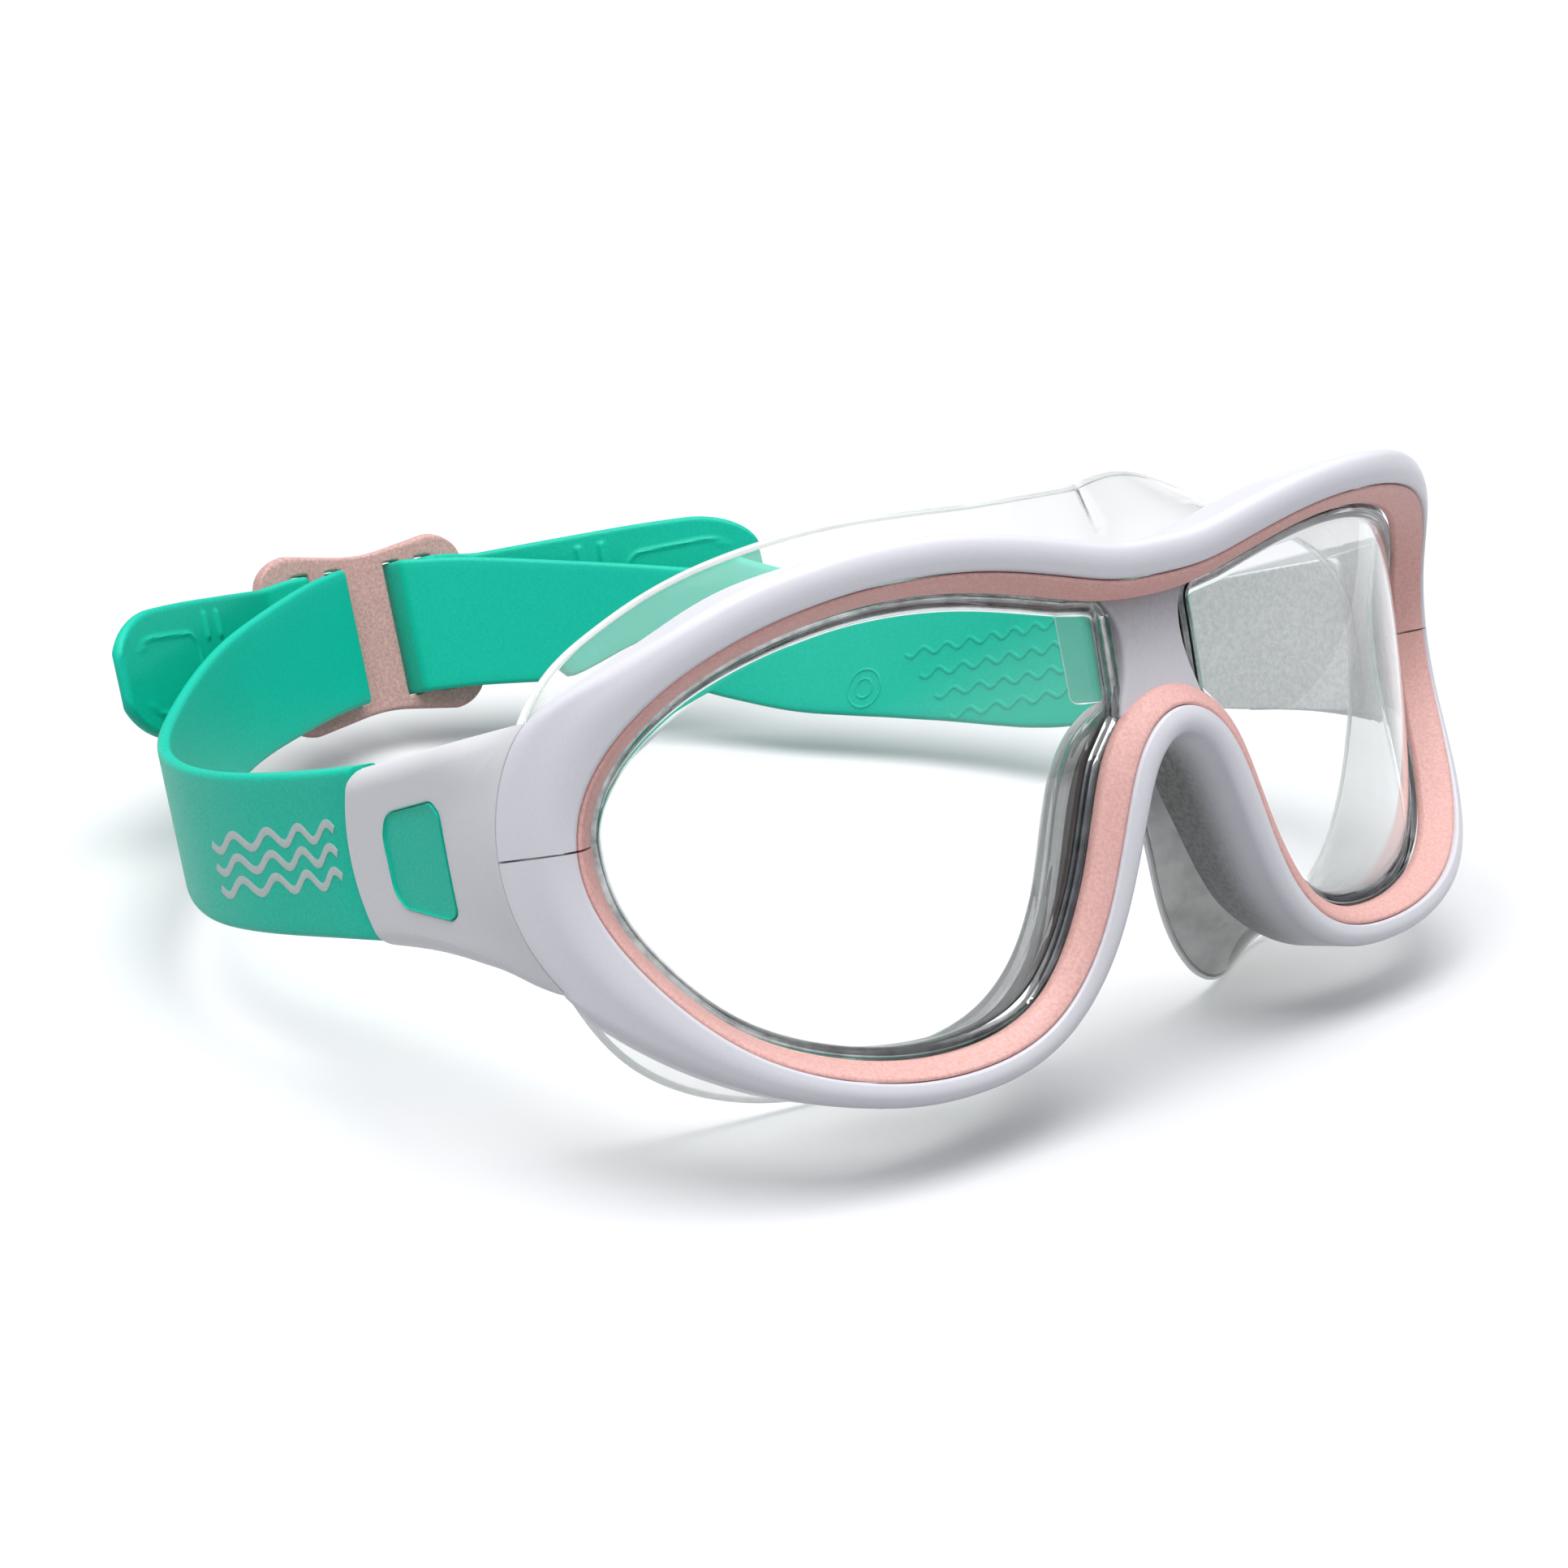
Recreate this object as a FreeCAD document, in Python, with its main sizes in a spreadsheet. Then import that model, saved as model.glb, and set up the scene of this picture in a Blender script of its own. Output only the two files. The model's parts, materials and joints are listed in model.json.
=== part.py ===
"""Swim goggles: a wide two-eye frame with clear lenses and a face skirt, held by a rubber strap.

Everything is drawn in the frame's own axes, in millimetres: X runs across the face, Y from the
front to the back of the head, Z up the brow.  The goggles rest leaning back on the skirt and on
the rear buckle, so one placement tilts every piece and puts the origin under the middle of them.
"""
import FreeCAD
import Part
import Sketcher
import math
import os
from FreeCAD import Placement, Rotation, Vector

X_AXIS = Vector(1, 0, 0)
Y_AXIS = Vector(0, 1, 0)
Z_AXIS = Vector(0, 0, 1)
ORIGIN = Vector(0, 0, 0)

SIZES = [
    ("mask_half_width", 72.0, "half width of the frame's front edge"),
    ("rest_tilt", 17.0, "lean of the resting goggles, degrees"),
    ("split_height", -19.0, "height of the split between the frame halves"),
    ("seam_gap", 0.24, "gap between the halves of the frame"),
    ("lip_thickness", 4.2, "front to back thickness of the frame's rounded front edge"),
    ("wall_thickness", 2.0, "side wall of the frame behind its front edge"),
    ("fit_gap", 0.15, "gap left at each face where two pieces are clipped together"),
    ("bezel_thickness", 1.2, "thickness of the coloured bezel at its inner edge"),
    ("lens_thickness", 2.0, "thickness of the clear lenses"),
    ("lens_setback", 1.35, "how far the lens lies behind the bezel's inner edge"),
    ("lens_overlap", 0.8, "how far the lens reaches under the bezel"),
    ("skirt_wall", 1.4, "thickness of the clear skirt"),
    ("divider_depth", 9.0, "front to back depth of the skirt between the eyes"),
    ("divider_start", 6.8, "start of the skirt's divider behind the front edge"),
    ("skirt_start", 3.7, "start of the skirt behind the bezel's inner edge"),
    ("bridge_half_width", 5.0, "half width of the plate between the lenses"),
    ("bridge_start", 3.1, "start of the plate between the lenses behind the front edge"),
    ("bridge_thickness", 2.4, "thickness of the plate between the lenses"),
    ("arm_outer_face", 77.0, "distance of an arm's outer face from the middle"),
    ("arm_shell", 3.1, "thickness of the arm's outer shell"),
    ("arm_pocket", 1.1, "depth of the pocket behind the shell's window"),
    ("pocket_below", 8.9, "reach of the pocket below the strap pivot"),
    ("pocket_above", 8.6, "reach of the pocket above the strap pivot"),
    ("pocket_front", 5.5, "reach of the pocket in front of the strap pivot"),
    ("pocket_rear", 20.0, "reach of the pocket behind the strap pivot, past the arm's end"),
    ("flange_rear", 14.5, "reach of the strap's flange behind the strap pivot"),
    ("flange_play", 0.3, "gap round the strap's flange in its pocket"),
    ("boss_recess", 0.35, "how far the strap's boss lies below the arm's outer face"),
    ("arm_cover", 0.85, "thickness of the cover on the arm's inner side"),
    ("arm_end_radius", 18.0, "radius of the arm's rear end, about the strap pivot"),
    ("pivot_depth", 42.5, "place of the strap pivot behind the front edge"),
    ("pivot_height", -17.5, "height of the strap pivot"),
    ("strap_gap", 0.3, "gap between the arm's end and the strap"),
    ("strap_thick_end", 3.9, "thickness of the strap beside the arm"),
    ("strap_thickness", 1.8, "thickness of the strap at the buckle"),
    ("strap_top", 20.6, "top edge of the strap at the buckle"),
    ("strap_bottom", -2.1, "bottom edge of the strap at the buckle"),
    ("buckle_face", 177.4, "place of the buckle's head side"),
    ("buckle_thickness", 3.0, "thickness of the buckle"),
    ("buckle_half_width", 19.7, "half width of the buckle"),
    ("buckle_waist", 13.2, "half height of the buckle at its middle"),
    ("buckle_corner", 6.0, "corner radius of the buckle"),
    ("buckle_bulge", 15.0, "half height of the buckle over its slots"),
    ("buckle_middle", 9.4, "height of the buckle's middle"),
    ("slot_half_height", 11.7, "half height of the buckle's slots"),
    ("inner_slot_start", 4.2, "start of the inner slot"),
    ("bar_start", 7.0, "start of the bar between the slots"),
    ("outer_slot_start", 10.4, "start of the outer slot"),
    ("rim_start", 13.4, "start of the buckle's outer rim"),
    ("tail_end", 60.4, "where the strap's loose tail ends, across"),
    ("tail_corner", 9.5, "corner radius of the loose tail's end"),
    ("tail_end_depth", 147.0, "where the strap's loose tail ends, behind the front edge"),
]

doc = FreeCAD.newDocument("swim_goggles")
sheet = doc.addObject("Spreadsheet::Sheet", "sizes")
for row, (alias, number, note) in enumerate(SIZES, start=1):
    sheet.set(f"A{row}", alias)
    sheet.set(f"B{row}", str(number))
    sheet.set(f"C{row}", note)
    sheet.setAlias(f"B{row}", alias)
doc.recompute()


def size(alias):
    return float(sheet.get(alias))


nodes = []

# ---------------------------------------------------------------- the frame's outlines
# Half outlines (x, z) from the top middle round the eye and up to the top of the nose arch.
# The two lists run side by side: the seam between frame and bezel, and the bezel's inner edge.
FRONT_EDGE = [(0, -3), (7, -2.7), (14, -1.4), (26, 1), (41, 2), (53, 0.6), (62.5, -3.2), (68.5, -8.8),
              (71.4, -15), (72, -19), (71.8, -23.5), (68.2, -34), (60.5, -44), (50.5, -49.4),
              (36, -51.8), (24.5, -49.5), (17.3, -43), (13.4, -35.6), (10.6, -28.6), (7.6, -22.8),
              (4, -19.5), (0, -18.4)]
OPENING_EDGE = [(0, -5.2), (7, -4.8), (14, -3.5), (26.3, -0.9), (41, 0.2), (52, -1.4), (60.6, -5.4),
                (65.8, -11), (67.9, -16), (68.3, -19), (68, -23.8), (64.8, -33.3), (58.4, -42.1),
                (49.6, -47.2), (36.3, -49.6), (26, -47.6), (19.9, -42), (15.9, -34.6), (13.2, -27.5),
                (9.8, -20.9), (5.2, -17.1), (0, -15.8)]
SPLIT = 9
LAST = len(FRONT_EDGE) - 1
# The curved fronts: depth = level + x2*x^2 + x4*x^4 + z2*z^2 + xz*x^2*z + z1*z
FRONT_CURVE = dict(level=0, x2=-1.68e-3, x4=1.09e-6, z2=2.39e-3, xz=6.4e-6, z1=0)
OPENING_CURVE = dict(level=2.7, x2=-0.86e-3, x4=1.067e-6, z2=2.08e-3, xz=-3.6e-6, z1=0.0124)


def curve_depth(curve, x, z):
    return (curve["level"] + curve["x2"] * x ** 2 + curve["x4"] * x ** 4 + curve["z2"] * z ** 2
            + curve["xz"] * x ** 2 * z + curve["z1"] * z)


def between(stops, k):
    """A value at station k, straight between the stops given as {station: value}."""
    keys = sorted(stops)
    for low, high in zip(keys, keys[1:]):
        if low <= k <= high:
            share = (k - low) / (high - low)
            return stops[low] + share * (stops[high] - stops[low])
    raise ValueError(f"station {k} lies outside the stops")


class Station:
    """One cut across the frame: its two edge points and the directions away from the eye."""

    def __init__(self, k):
        scale = size("mask_half_width") / FRONT_EDGE[SPLIT][0]
        points = [(x * scale, z * scale) for x, z in FRONT_EDGE]
        x, z = points[k]
        before = points[k - 1] if k else (-points[1][0], points[1][1])
        after = points[k + 1] if k < LAST else (-points[LAST - 1][0], points[LAST - 1][1])
        run = math.hypot(after[0] - before[0], after[1] - before[1])
        self.out = Vector((before[1] - after[1]) / run, 0, (after[0] - before[0]) / run)
        if k in (0, LAST):
            self.out.x = 0
        self.front = Vector(x, curve_depth(FRONT_CURVE, x, z), z)
        step = 0.5
        ahead = curve_depth(FRONT_CURVE, x + self.out.x * step, z + self.out.z * step)
        slope = (ahead - self.front.y) / step
        self.along = Vector(self.out.x, slope, self.out.z).normalize()
        inner_x, inner_z = (value * scale for value in OPENING_EDGE[k])
        self.opening = Vector(inner_x, curve_depth(OPENING_CURVE, inner_x, inner_z), inner_z)
        self.k = k


STATIONS = [Station(k) for k in range(LAST + 1)]


def half_loft(section):
    """Loft a closed section through every station, from the top middle to the nose arch."""
    wires = []
    for station in STATIONS:
        points = section(station)
        wires.append(Part.makePolygon(points + points[:1]))
    return Part.makeLoft(wires, True, False)


def mirrored(shape):
    return shape.mirror(ORIGIN, X_AXIS)


def both_sides(half):
    return half.multiFuse([mirrored(half)], 0.01).removeSplitter()


def upper_region(offset):
    """Space of the upper frame half: above the temple splits, and clear of the nose arch."""
    split = size("split_height") + offset
    brow_half_width = 20
    brow_bottom = -10 + offset
    reach = 100
    brow = Part.makeBox(2 * brow_half_width, 2 * reach, reach, Vector(-brow_half_width, -reach, brow_bottom))
    sides = [Part.makeBox(reach, 2 * reach, reach, Vector(x, -reach, split))
             for x in (-brow_half_width - reach, brow_half_width)]
    return brow.multiFuse(sides).removeSplitter()


def add_feature(name, shape):
    feature = doc.addObject("Part::Feature", name)
    feature.Label = name
    feature.Shape = shape
    nodes.append(feature)
    return feature


# ---------------------------------------------------------------- arms: outline shared with the seam
def arm_outline(grow=0.0):
    """Side view (y, z) of an arm as edges: seam arc, top, round rear end, bottom."""
    pivot_y = size("pivot_depth")
    pivot_z = size("pivot_height")
    radius = size("arm_end_radius") + grow
    top_z = -7.2 + grow
    bottom_z = -27.8 - grow
    top_y = pivot_y + math.sqrt(radius ** 2 - (top_z - pivot_z) ** 2)
    bottom_y = pivot_y + math.sqrt(radius ** 2 - (bottom_z - pivot_z) ** 2)
    top = [(23.7 - grow, -4.8 + grow), (31, -5.2 + grow), (45, -6.2 + grow), (top_y, top_z)]
    bottom = [(bottom_y, bottom_z), (45, -29 - grow), (31, -32 - grow), (24.9 - grow, -34 - grow)]
    seam = (28.1 - grow, -17.5)
    return top, (pivot_y + radius, pivot_z), bottom, seam


def spline_edge(points):
    curve = Part.BSplineCurve()
    curve.interpolate(points)
    return curve


def outline_curves(outline, to_vector):
    top, rear, bottom, seam = outline
    return [spline_edge([to_vector(*point) for point in top]),
            Part.Arc(to_vector(*top[-1]), to_vector(*rear), to_vector(*bottom[0])),
            spline_edge([to_vector(*point) for point in bottom]),
            Part.Arc(to_vector(*bottom[-1]), to_vector(*seam), to_vector(*top[0]))]


def side_prism(curves_at, start, end):
    """A solid with a side-view outline, from x=start to x=end."""
    edges = [curve.toShape() for curve in curves_at(start)]
    return Part.Face(Part.Wire(edges)).extrude(X_AXIS * (end - start))


def seam_cutter():
    grow = size("fit_gap")
    start = size("arm_outer_face") - size("arm_shell") - size("arm_cover") - 2 * grow

    def curves_at(x):
        return outline_curves(arm_outline(grow), lambda y, z: Vector(x, y, z))

    clear_of_frame = 10
    return side_prism(curves_at, start, size("arm_outer_face") + clear_of_frame)


# ---------------------------------------------------------------- frame and bezel
FRAME_WIDTH = {0: 4.2, 3: 4.1, 5: 4.4, 6: 4.8, 7: 9.6, 8: 10, 10: 10, 11: 8.2, 12: 4, 13: 3, 14: 2.8,
               16: 3, 18: 3.2, 21: 3.2}
FRAME_DEPTH = {0: 8, 5: 8, 6: 6, 7: 5, 8: 4.6, 10: 4.6, 11: 5, 13: 6, 14: 6.5, 15: 8, 16: 11, 18: 12, 21: 12}


def frame_section(station):
    width = between(FRAME_WIDTH, station.k)
    depth = between(FRAME_DEPTH, station.k)
    lip = size("lip_thickness")
    wall = min(size("wall_thickness"), 0.5 * width)
    gap = size("fit_gap")
    draft = 0.5
    inner = width - draft - wall
    offsets = [(gap, -0.3), (0.3 * width, -1.1), (0.7 * width, -0.5), (0.93 * width, 0.9), (width, 2.6),
               (width - draft, depth), (inner, depth), (inner, min(lip, depth - 0.2)), (gap, lip)]
    return [station.front + station.along * u + Y_AXIS * w for u, w in offsets]


def bezel_section(station):
    gap = size("fit_gap")
    front = station.front - station.along * gap
    back = size("bezel_thickness")
    across = station.front - station.opening
    crown = station.opening + across * 0.55 - Y_AXIS * 0.35
    hidden_depth = back + 1.9
    return [front + Y_AXIS * 0.1, crown, station.opening, station.opening + Y_AXIS * back,
            front + Y_AXIS * hidden_depth]


def build_frame_and_bezel():
    half_gap = size("seam_gap") / 2
    cutter = seam_cutter()
    frame_half = half_loft(frame_section).cut(cutter)
    bezel_half = half_loft(bezel_section)
    for name, half in (("frame", frame_half), ("bezel", bezel_half)):
        whole = both_sides(half)
        add_feature(f"{name}_upper", whole.common(upper_region(half_gap)))
        add_feature(f"{name}_lower", whole.cut(upper_region(-half_gap)))


# ---------------------------------------------------------------- lenses
def curved_slab(curve, start, thickness, x_range, z_range, count=9):
    """A sheet that follows one of the curved fronts, moved back by start."""
    rows = []
    for i in range(count):
        x = x_range[0] + (x_range[1] - x_range[0]) * i / (count - 1)
        heights = [z_range[0] + (z_range[1] - z_range[0]) * j / (count - 1) for j in range(count)]
        rows.append([Vector(x, curve_depth(curve, x, z) + start, z) for z in heights])
    surface = Part.BSplineSurface()
    surface.interpolate(rows)
    return surface.toShape().extrude(Y_AXIS * thickness)


def lens_outline(grow):
    """The lens opening grown by the overlap, with a straight side along the bridge plate."""
    rim = [station.opening + station.out * grow for station in STATIONS[1:LAST - 1]]
    nose_side = size("bridge_half_width") + 0.8
    lower_corner = Vector(nose_side, 0, -18.3)
    upper_corner = Vector(nose_side, 0, -3.9)
    rim = [upper_corner] + [Vector(point.x, 0, point.z) for point in rim] + [lower_corner]
    edges = [spline_edge(rim).toShape(), Part.LineSegment(lower_corner, upper_corner).toShape()]
    return Part.Wire(edges)


def build_lenses():
    outline = lens_outline(size("lens_overlap"))
    past_the_temples = 60
    prism = Part.Face(outline).extrude(Y_AXIS * past_the_temples)
    x_range = (0, 76)
    z_range = (-56, 6)
    slab = curved_slab(OPENING_CURVE, size("lens_setback"), size("lens_thickness"), x_range, z_range)
    right = slab.common(prism).Solids[0]
    add_feature("lens_right", right)
    add_feature("lens_left", mirrored(right))


# ---------------------------------------------------------------- skirt
# The face flange's edge: how far it stands outside the front edge, and its depth.
FLANGE_REACH = {0: 11.6, 1: 11.6, 2: 10.6, 3: 8.6, 4: 5, 5: 1.6, 6: 1, 7: 1.4, 8: -0.4, 10: -1.4, 11: -0.4,
                12: 1, 13: 2, 14: 2.8, 15: 7.2, 16: 6.4, 17: 3.6, 18: 2.6, 19: 2, 20: 1.5, 21: 1.5}
FLANGE_DEPTH = {0: 13, 1: 17, 2: 22, 3: 28.5, 4: 35.8, 5: 38.4, 6: 36, 7: 33, 8: 33, 10: 34, 11: 35,
                12: 35.5, 13: 34.5, 14: 32.6, 15: 25.5, 16: 21.5, 17: 20, 19: 18, 21: 17}
TUNNEL_SHARE = 0.55


def skirt_profile(station):
    """The tunnel wall beside the lens and the flange behind it, as one closed section."""
    wall = size("skirt_wall")
    start = station.opening + Y_AXIS * size("skirt_start") + station.out * 0.1
    edge = station.front + station.out * between(FLANGE_REACH, station.k)
    edge.y = between(FLANGE_DEPTH, station.k)
    bend = start + station.out * 0.3
    bend.y = start.y + TUNNEL_SHARE * (edge.y - start.y)
    flare = (edge - bend).normalize()
    side = Vector(station.out) * flare.y - Y_AXIS * flare.dot(station.out)
    shoulder = start + station.out * wall
    shoulder.y = curve_depth(OPENING_CURVE, shoulder.x, shoulder.z) + size("skirt_start")
    return [start, bend, edge, edge + side * wall * 0.6, bend + side * wall + station.out * 0.2, shoulder]


def build_skirt():
    skirt = both_sides(half_loft(skirt_profile))
    divider_half = size("bridge_half_width") - 0.8
    divider_bottom = -16.6
    divider_top = -4
    corner = Vector(-divider_half, size("divider_start"), divider_bottom)
    divider = Part.makeBox(2 * divider_half, size("divider_depth"), divider_top - divider_bottom, corner)
    add_feature("skirt", skirt.fuse(divider).removeSplitter())


# ---------------------------------------------------------------- PartDesign helpers
def plane_of(body, role):
    return next(item for item in body.Origin.OriginFeatures if item.Role == role)


def new_body(name):
    body = doc.addObject("PartDesign::Body", name)
    body.Label = name
    nodes.append(body)
    return body


def new_sketch(body, name, role, offset):
    sketch = body.newObject("Sketcher::SketchObject", name)
    sketch.AttachmentSupport = (plane_of(body, role), [""])
    sketch.MapMode = "FlatFace"
    sketch.setExpression("AttachmentOffset.Base.z", offset)
    return sketch


def pad(body, sketch, name, length):
    feature = body.newObject("PartDesign::Pad", name)
    feature.Profile = sketch
    feature.setExpression("Length", length)
    sketch.Visibility = False
    body.Tip = feature
    doc.recompute()
    return feature


def pocket(body, sketch, name, length):
    before = body.Shape.Volume
    feature = body.newObject("PartDesign::Pocket", name)
    feature.Profile = sketch
    feature.setExpression("Length", length)
    body.Tip = feature
    doc.recompute()
    if not before - body.Shape.Volume > 1:
        raise RuntimeError(f"{name} cuts nothing")
    return feature


def add_rectangle(sketch, left, right, bottom, top):
    """A rectangle whose sides are bound to the sheet by four expressions."""
    corners = [Vector(1, 1, 0), Vector(2, 1, 0), Vector(2, 2, 0), Vector(1, 2, 0)]
    first = sketch.GeometryCount
    for start, end in zip(corners, corners[1:] + corners[:1]):
        sketch.addGeometry(Part.LineSegment(start, end), False)
    for i in range(4):
        sketch.addConstraint(Sketcher.Constraint("Coincident", first + i, 2, first + (i + 1) % 4, 1))
    for i, kind in enumerate(("Horizontal", "Vertical", "Horizontal", "Vertical")):
        sketch.addConstraint(Sketcher.Constraint(kind, first + i))
    for corner, kind, expression in ((0, "DistanceX", left), (0, "DistanceY", bottom),
                                     (2, "DistanceX", right), (2, "DistanceY", top)):
        index = sketch.addConstraint(Sketcher.Constraint(kind, -1, 1, first + corner, 1, 1.0))
        sketch.setExpression(f"Constraints[{index}]", expression)


# ---------------------------------------------------------------- arms, their covers and strap ends
WINDOW = [(40.3, -11.5), (50.2, -12.3), (51.7, -14.8), (51.6, -21.4), (49.8, -23.2), (40.6, -24.8),
          (39.1, -24.1), (38.9, -13)]
BOSS_PLAY = 0.15
COVER_PLAY = 0.05
FLANGE_LIFT = 0.1


def window_lines(shrink=0.0):
    middle_y = sum(y for y, z in WINDOW) / len(WINDOW)
    middle_z = sum(z for y, z in WINDOW) / len(WINDOW)
    points = []
    for y, z in WINDOW:
        reach = math.hypot(y - middle_y, z - middle_z)
        share = (reach - shrink) / reach
        points.append(Vector(middle_y + (y - middle_y) * share, middle_z + (z - middle_z) * share, 0))
    return [Part.LineSegment(start, end) for start, end in zip(points, points[1:] + points[:1])]


def build_arm(side, sign):
    face = "sizes.arm_outer_face"
    thick = "sizes.arm_shell"
    shell = new_body(f"arm_{side}")
    start = f"{face} - {thick}" if sign > 0 else f"-{face}"
    outline = new_sketch(shell, f"arm_{side}_outline", "YZ_Plane", start)
    outline.addGeometry(outline_curves(arm_outline(), lambda y, z: Vector(y, z, 0)), False)
    outline.addGeometry(window_lines(), False)
    pad(shell, outline, f"arm_{side}_plate", thick)
    deep = f"{face} - {thick} + sizes.arm_pocket" if sign > 0 else f"-({face} - {thick})"
    recess = new_sketch(shell, f"arm_{side}_recess", "YZ_Plane", deep)
    add_rectangle(recess, "sizes.pivot_depth - sizes.pocket_front", "sizes.pivot_depth + sizes.pocket_rear",
                  "sizes.pivot_height - sizes.pocket_below", "sizes.pivot_height + sizes.pocket_above")
    pocket(shell, recess, f"arm_{side}_pocket", "sizes.arm_pocket")

    cover = new_body(f"arm_cover_{side}")
    inner = f"{face} - {thick} - sizes.arm_cover"
    start = f"{inner} - {COVER_PLAY}" if sign > 0 else f"-({face} - {thick}) + {COVER_PLAY}"
    sketch = new_sketch(cover, f"arm_cover_{side}_outline", "YZ_Plane", start)
    sketch.addGeometry(outline_curves(arm_outline(-0.8), lambda y, z: Vector(y, z, 0)), False)
    pad(cover, sketch, f"arm_cover_{side}_plate", "sizes.arm_cover")

    anchor = new_body(f"strap_anchor_{side}")
    flange = f"(sizes.arm_pocket - 2 * {FLANGE_LIFT})"
    bed = f"{face} - {thick} + {FLANGE_LIFT}"
    start = bed if sign > 0 else f"-({bed}) - {flange}"
    sketch = new_sketch(anchor, f"strap_anchor_{side}_outline", "YZ_Plane", start)
    add_rectangle(sketch, "sizes.pivot_depth - sizes.pocket_front + sizes.flange_play",
                  "sizes.pivot_depth + sizes.flange_rear",
                  "sizes.pivot_height - sizes.pocket_below + sizes.flange_play",
                  "sizes.pivot_height + sizes.pocket_above - sizes.flange_play")
    pad(anchor, sketch, f"strap_anchor_{side}_flange", flange)
    boss = new_sketch(anchor, f"strap_anchor_{side}_boss_outline", "YZ_Plane",
                      bed if sign > 0 else f"-{face} + sizes.boss_recess")
    boss.addGeometry(window_lines(BOSS_PLAY), False)
    pad(anchor, boss, f"strap_anchor_{side}_boss", f"{thick} - sizes.boss_recess - {FLANGE_LIFT}")


# ---------------------------------------------------------------- bridge plate
def build_bridge_plate():
    body = new_body("bridge_plate")
    sketch = new_sketch(body, "bridge_plate_outline", "XZ_Plane",
                        "-sizes.bridge_start - sizes.bridge_thickness")
    half = size("bridge_half_width")
    top_flare = 0.7
    bottom_flare = 0.4
    top_z = -5.5
    bottom_z = -15.4
    middle_z = (top_z + bottom_z) / 2
    corners = [Vector(half + top_flare, top_z, 0), Vector(half, middle_z, 0),
               Vector(half + bottom_flare, bottom_z, 0)]
    left = [Vector(-point.x, point.y, 0) for point in corners]
    sketch.addGeometry([Part.Arc(*corners), Part.LineSegment(corners[2], left[2]),
                        Part.Arc(left[2], left[1], left[0]), Part.LineSegment(left[0], corners[0])], False)
    pad(body, sketch, "bridge_plate_pad", "sizes.bridge_thickness")


# ---------------------------------------------------------------- buckle
def build_buckle():
    body = new_body("buckle")
    sketch = new_sketch(body, "buckle_outline", "XZ_Plane", "-sizes.buckle_face - sizes.buckle_thickness")
    middle = size("buckle_middle")
    half = size("buckle_half_width")
    waist = size("buckle_waist")
    bulge = size("buckle_bulge")
    corner = size("buckle_corner")
    inset = corner * (1 - math.sqrt(0.5))
    shoulder = (7, waist + (bulge - waist) / 2)
    for up in (1, -1):
        edge = [Vector(x, middle + up * y, 0)
                for x, y in ((-half + corner, bulge), (-shoulder[0], shoulder[1]), (0, waist), shoulder,
                             (half - corner, bulge))]
        sketch.addGeometry(spline_edge(edge), False)
        for out in (1, -1):
            sketch.addGeometry(Part.Arc(Vector(out * (half - corner), middle + up * bulge, 0),
                                        Vector(out * (half - inset), middle + up * (bulge - inset), 0),
                                        Vector(out * half, middle + up * (bulge - corner), 0)), False)
    for out in (1, -1):
        sketch.addGeometry(Part.LineSegment(Vector(out * half, middle + bulge - corner, 0),
                                            Vector(out * half, middle - bulge + corner, 0)), False)
    pad(body, sketch, "buckle_plate", "sizes.buckle_thickness")
    slots = new_sketch(body, "buckle_slots", "XZ_Plane", "-sizes.buckle_face")
    bottom = "sizes.buckle_middle - sizes.slot_half_height"
    top = "sizes.buckle_middle + sizes.slot_half_height"
    for start, end in (("inner_slot_start", "bar_start"), ("outer_slot_start", "rim_start")):
        add_rectangle(slots, f"sizes.{start}", f"sizes.{end}", bottom, top)
        add_rectangle(slots, f"-sizes.{end}", f"-sizes.{start}", bottom, top)
    pocket(body, slots, "buckle_slot_cut", "sizes.buckle_thickness")


# ---------------------------------------------------------------- strap halves and tails
# Plan view (x, y) of the strap's inner face, from the arm's end to the buckle, and its edges (y, z).
STRAP_INNER_FACE = [(72.6, 54.5), (75, 72), (76.8, 84), (76.6, 94.5), (74.4, 104.5), (70, 114.8),
                    (63.6, 125.2), (55.6, 135.8), (46.2, 146.2), (36, 155.3), (25, 162.6), (14, 169),
                    (4.9, 173.6)]
STRAP_TOP_EDGE = [(50, -6.8), (68, -6.4), (86, -5), (102, -2.6), (118, 0.7), (133, 4.8), (147, 9.8),
                  (158, 14.3), (167, 18.4), (172, 20.2), (176, 20.6)]
STRAP_BOTTOM_EDGE = [(50, -27.4), (65, -26.4), (76, -25.7), (86, -24.8), (94, -23.9), (102, -22.5),
                     (110, -20.6), (118, -18.5), (133, -14.2), (147, -9.6), (158, -6), (167, -3.3),
                     (172, -2.3), (176, -2.1)]
THICK_END_Y = 56
THIN_FROM_Y = 92


def strap_band():
    """The strap's plan section: inner face, and outer face offset by the local thickness."""
    inner = [Vector(x, y, 0) for x, y in STRAP_INNER_FACE]
    outer = []
    for i, point in enumerate(inner):
        before = inner[max(i - 1, 0)]
        after = inner[min(i + 1, len(inner) - 1)]
        along = (after - before).normalize()
        share = max(0.0, min(1.0, (THIN_FROM_Y - point.y) / (THIN_FROM_Y - THICK_END_Y)))
        thick = size("strap_thickness") + share * (size("strap_thick_end") - size("strap_thickness"))
        outer.append(point + Vector(along.y, -along.x, 0) * thick)
    edges = [spline_edge(inner).toShape(), Part.LineSegment(inner[-1], outer[-1]).toShape(),
             spline_edge(outer[::-1]).toShape(), Part.LineSegment(outer[0], inner[0]).toShape()]
    return Part.Face(Part.Wire(edges))


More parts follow.
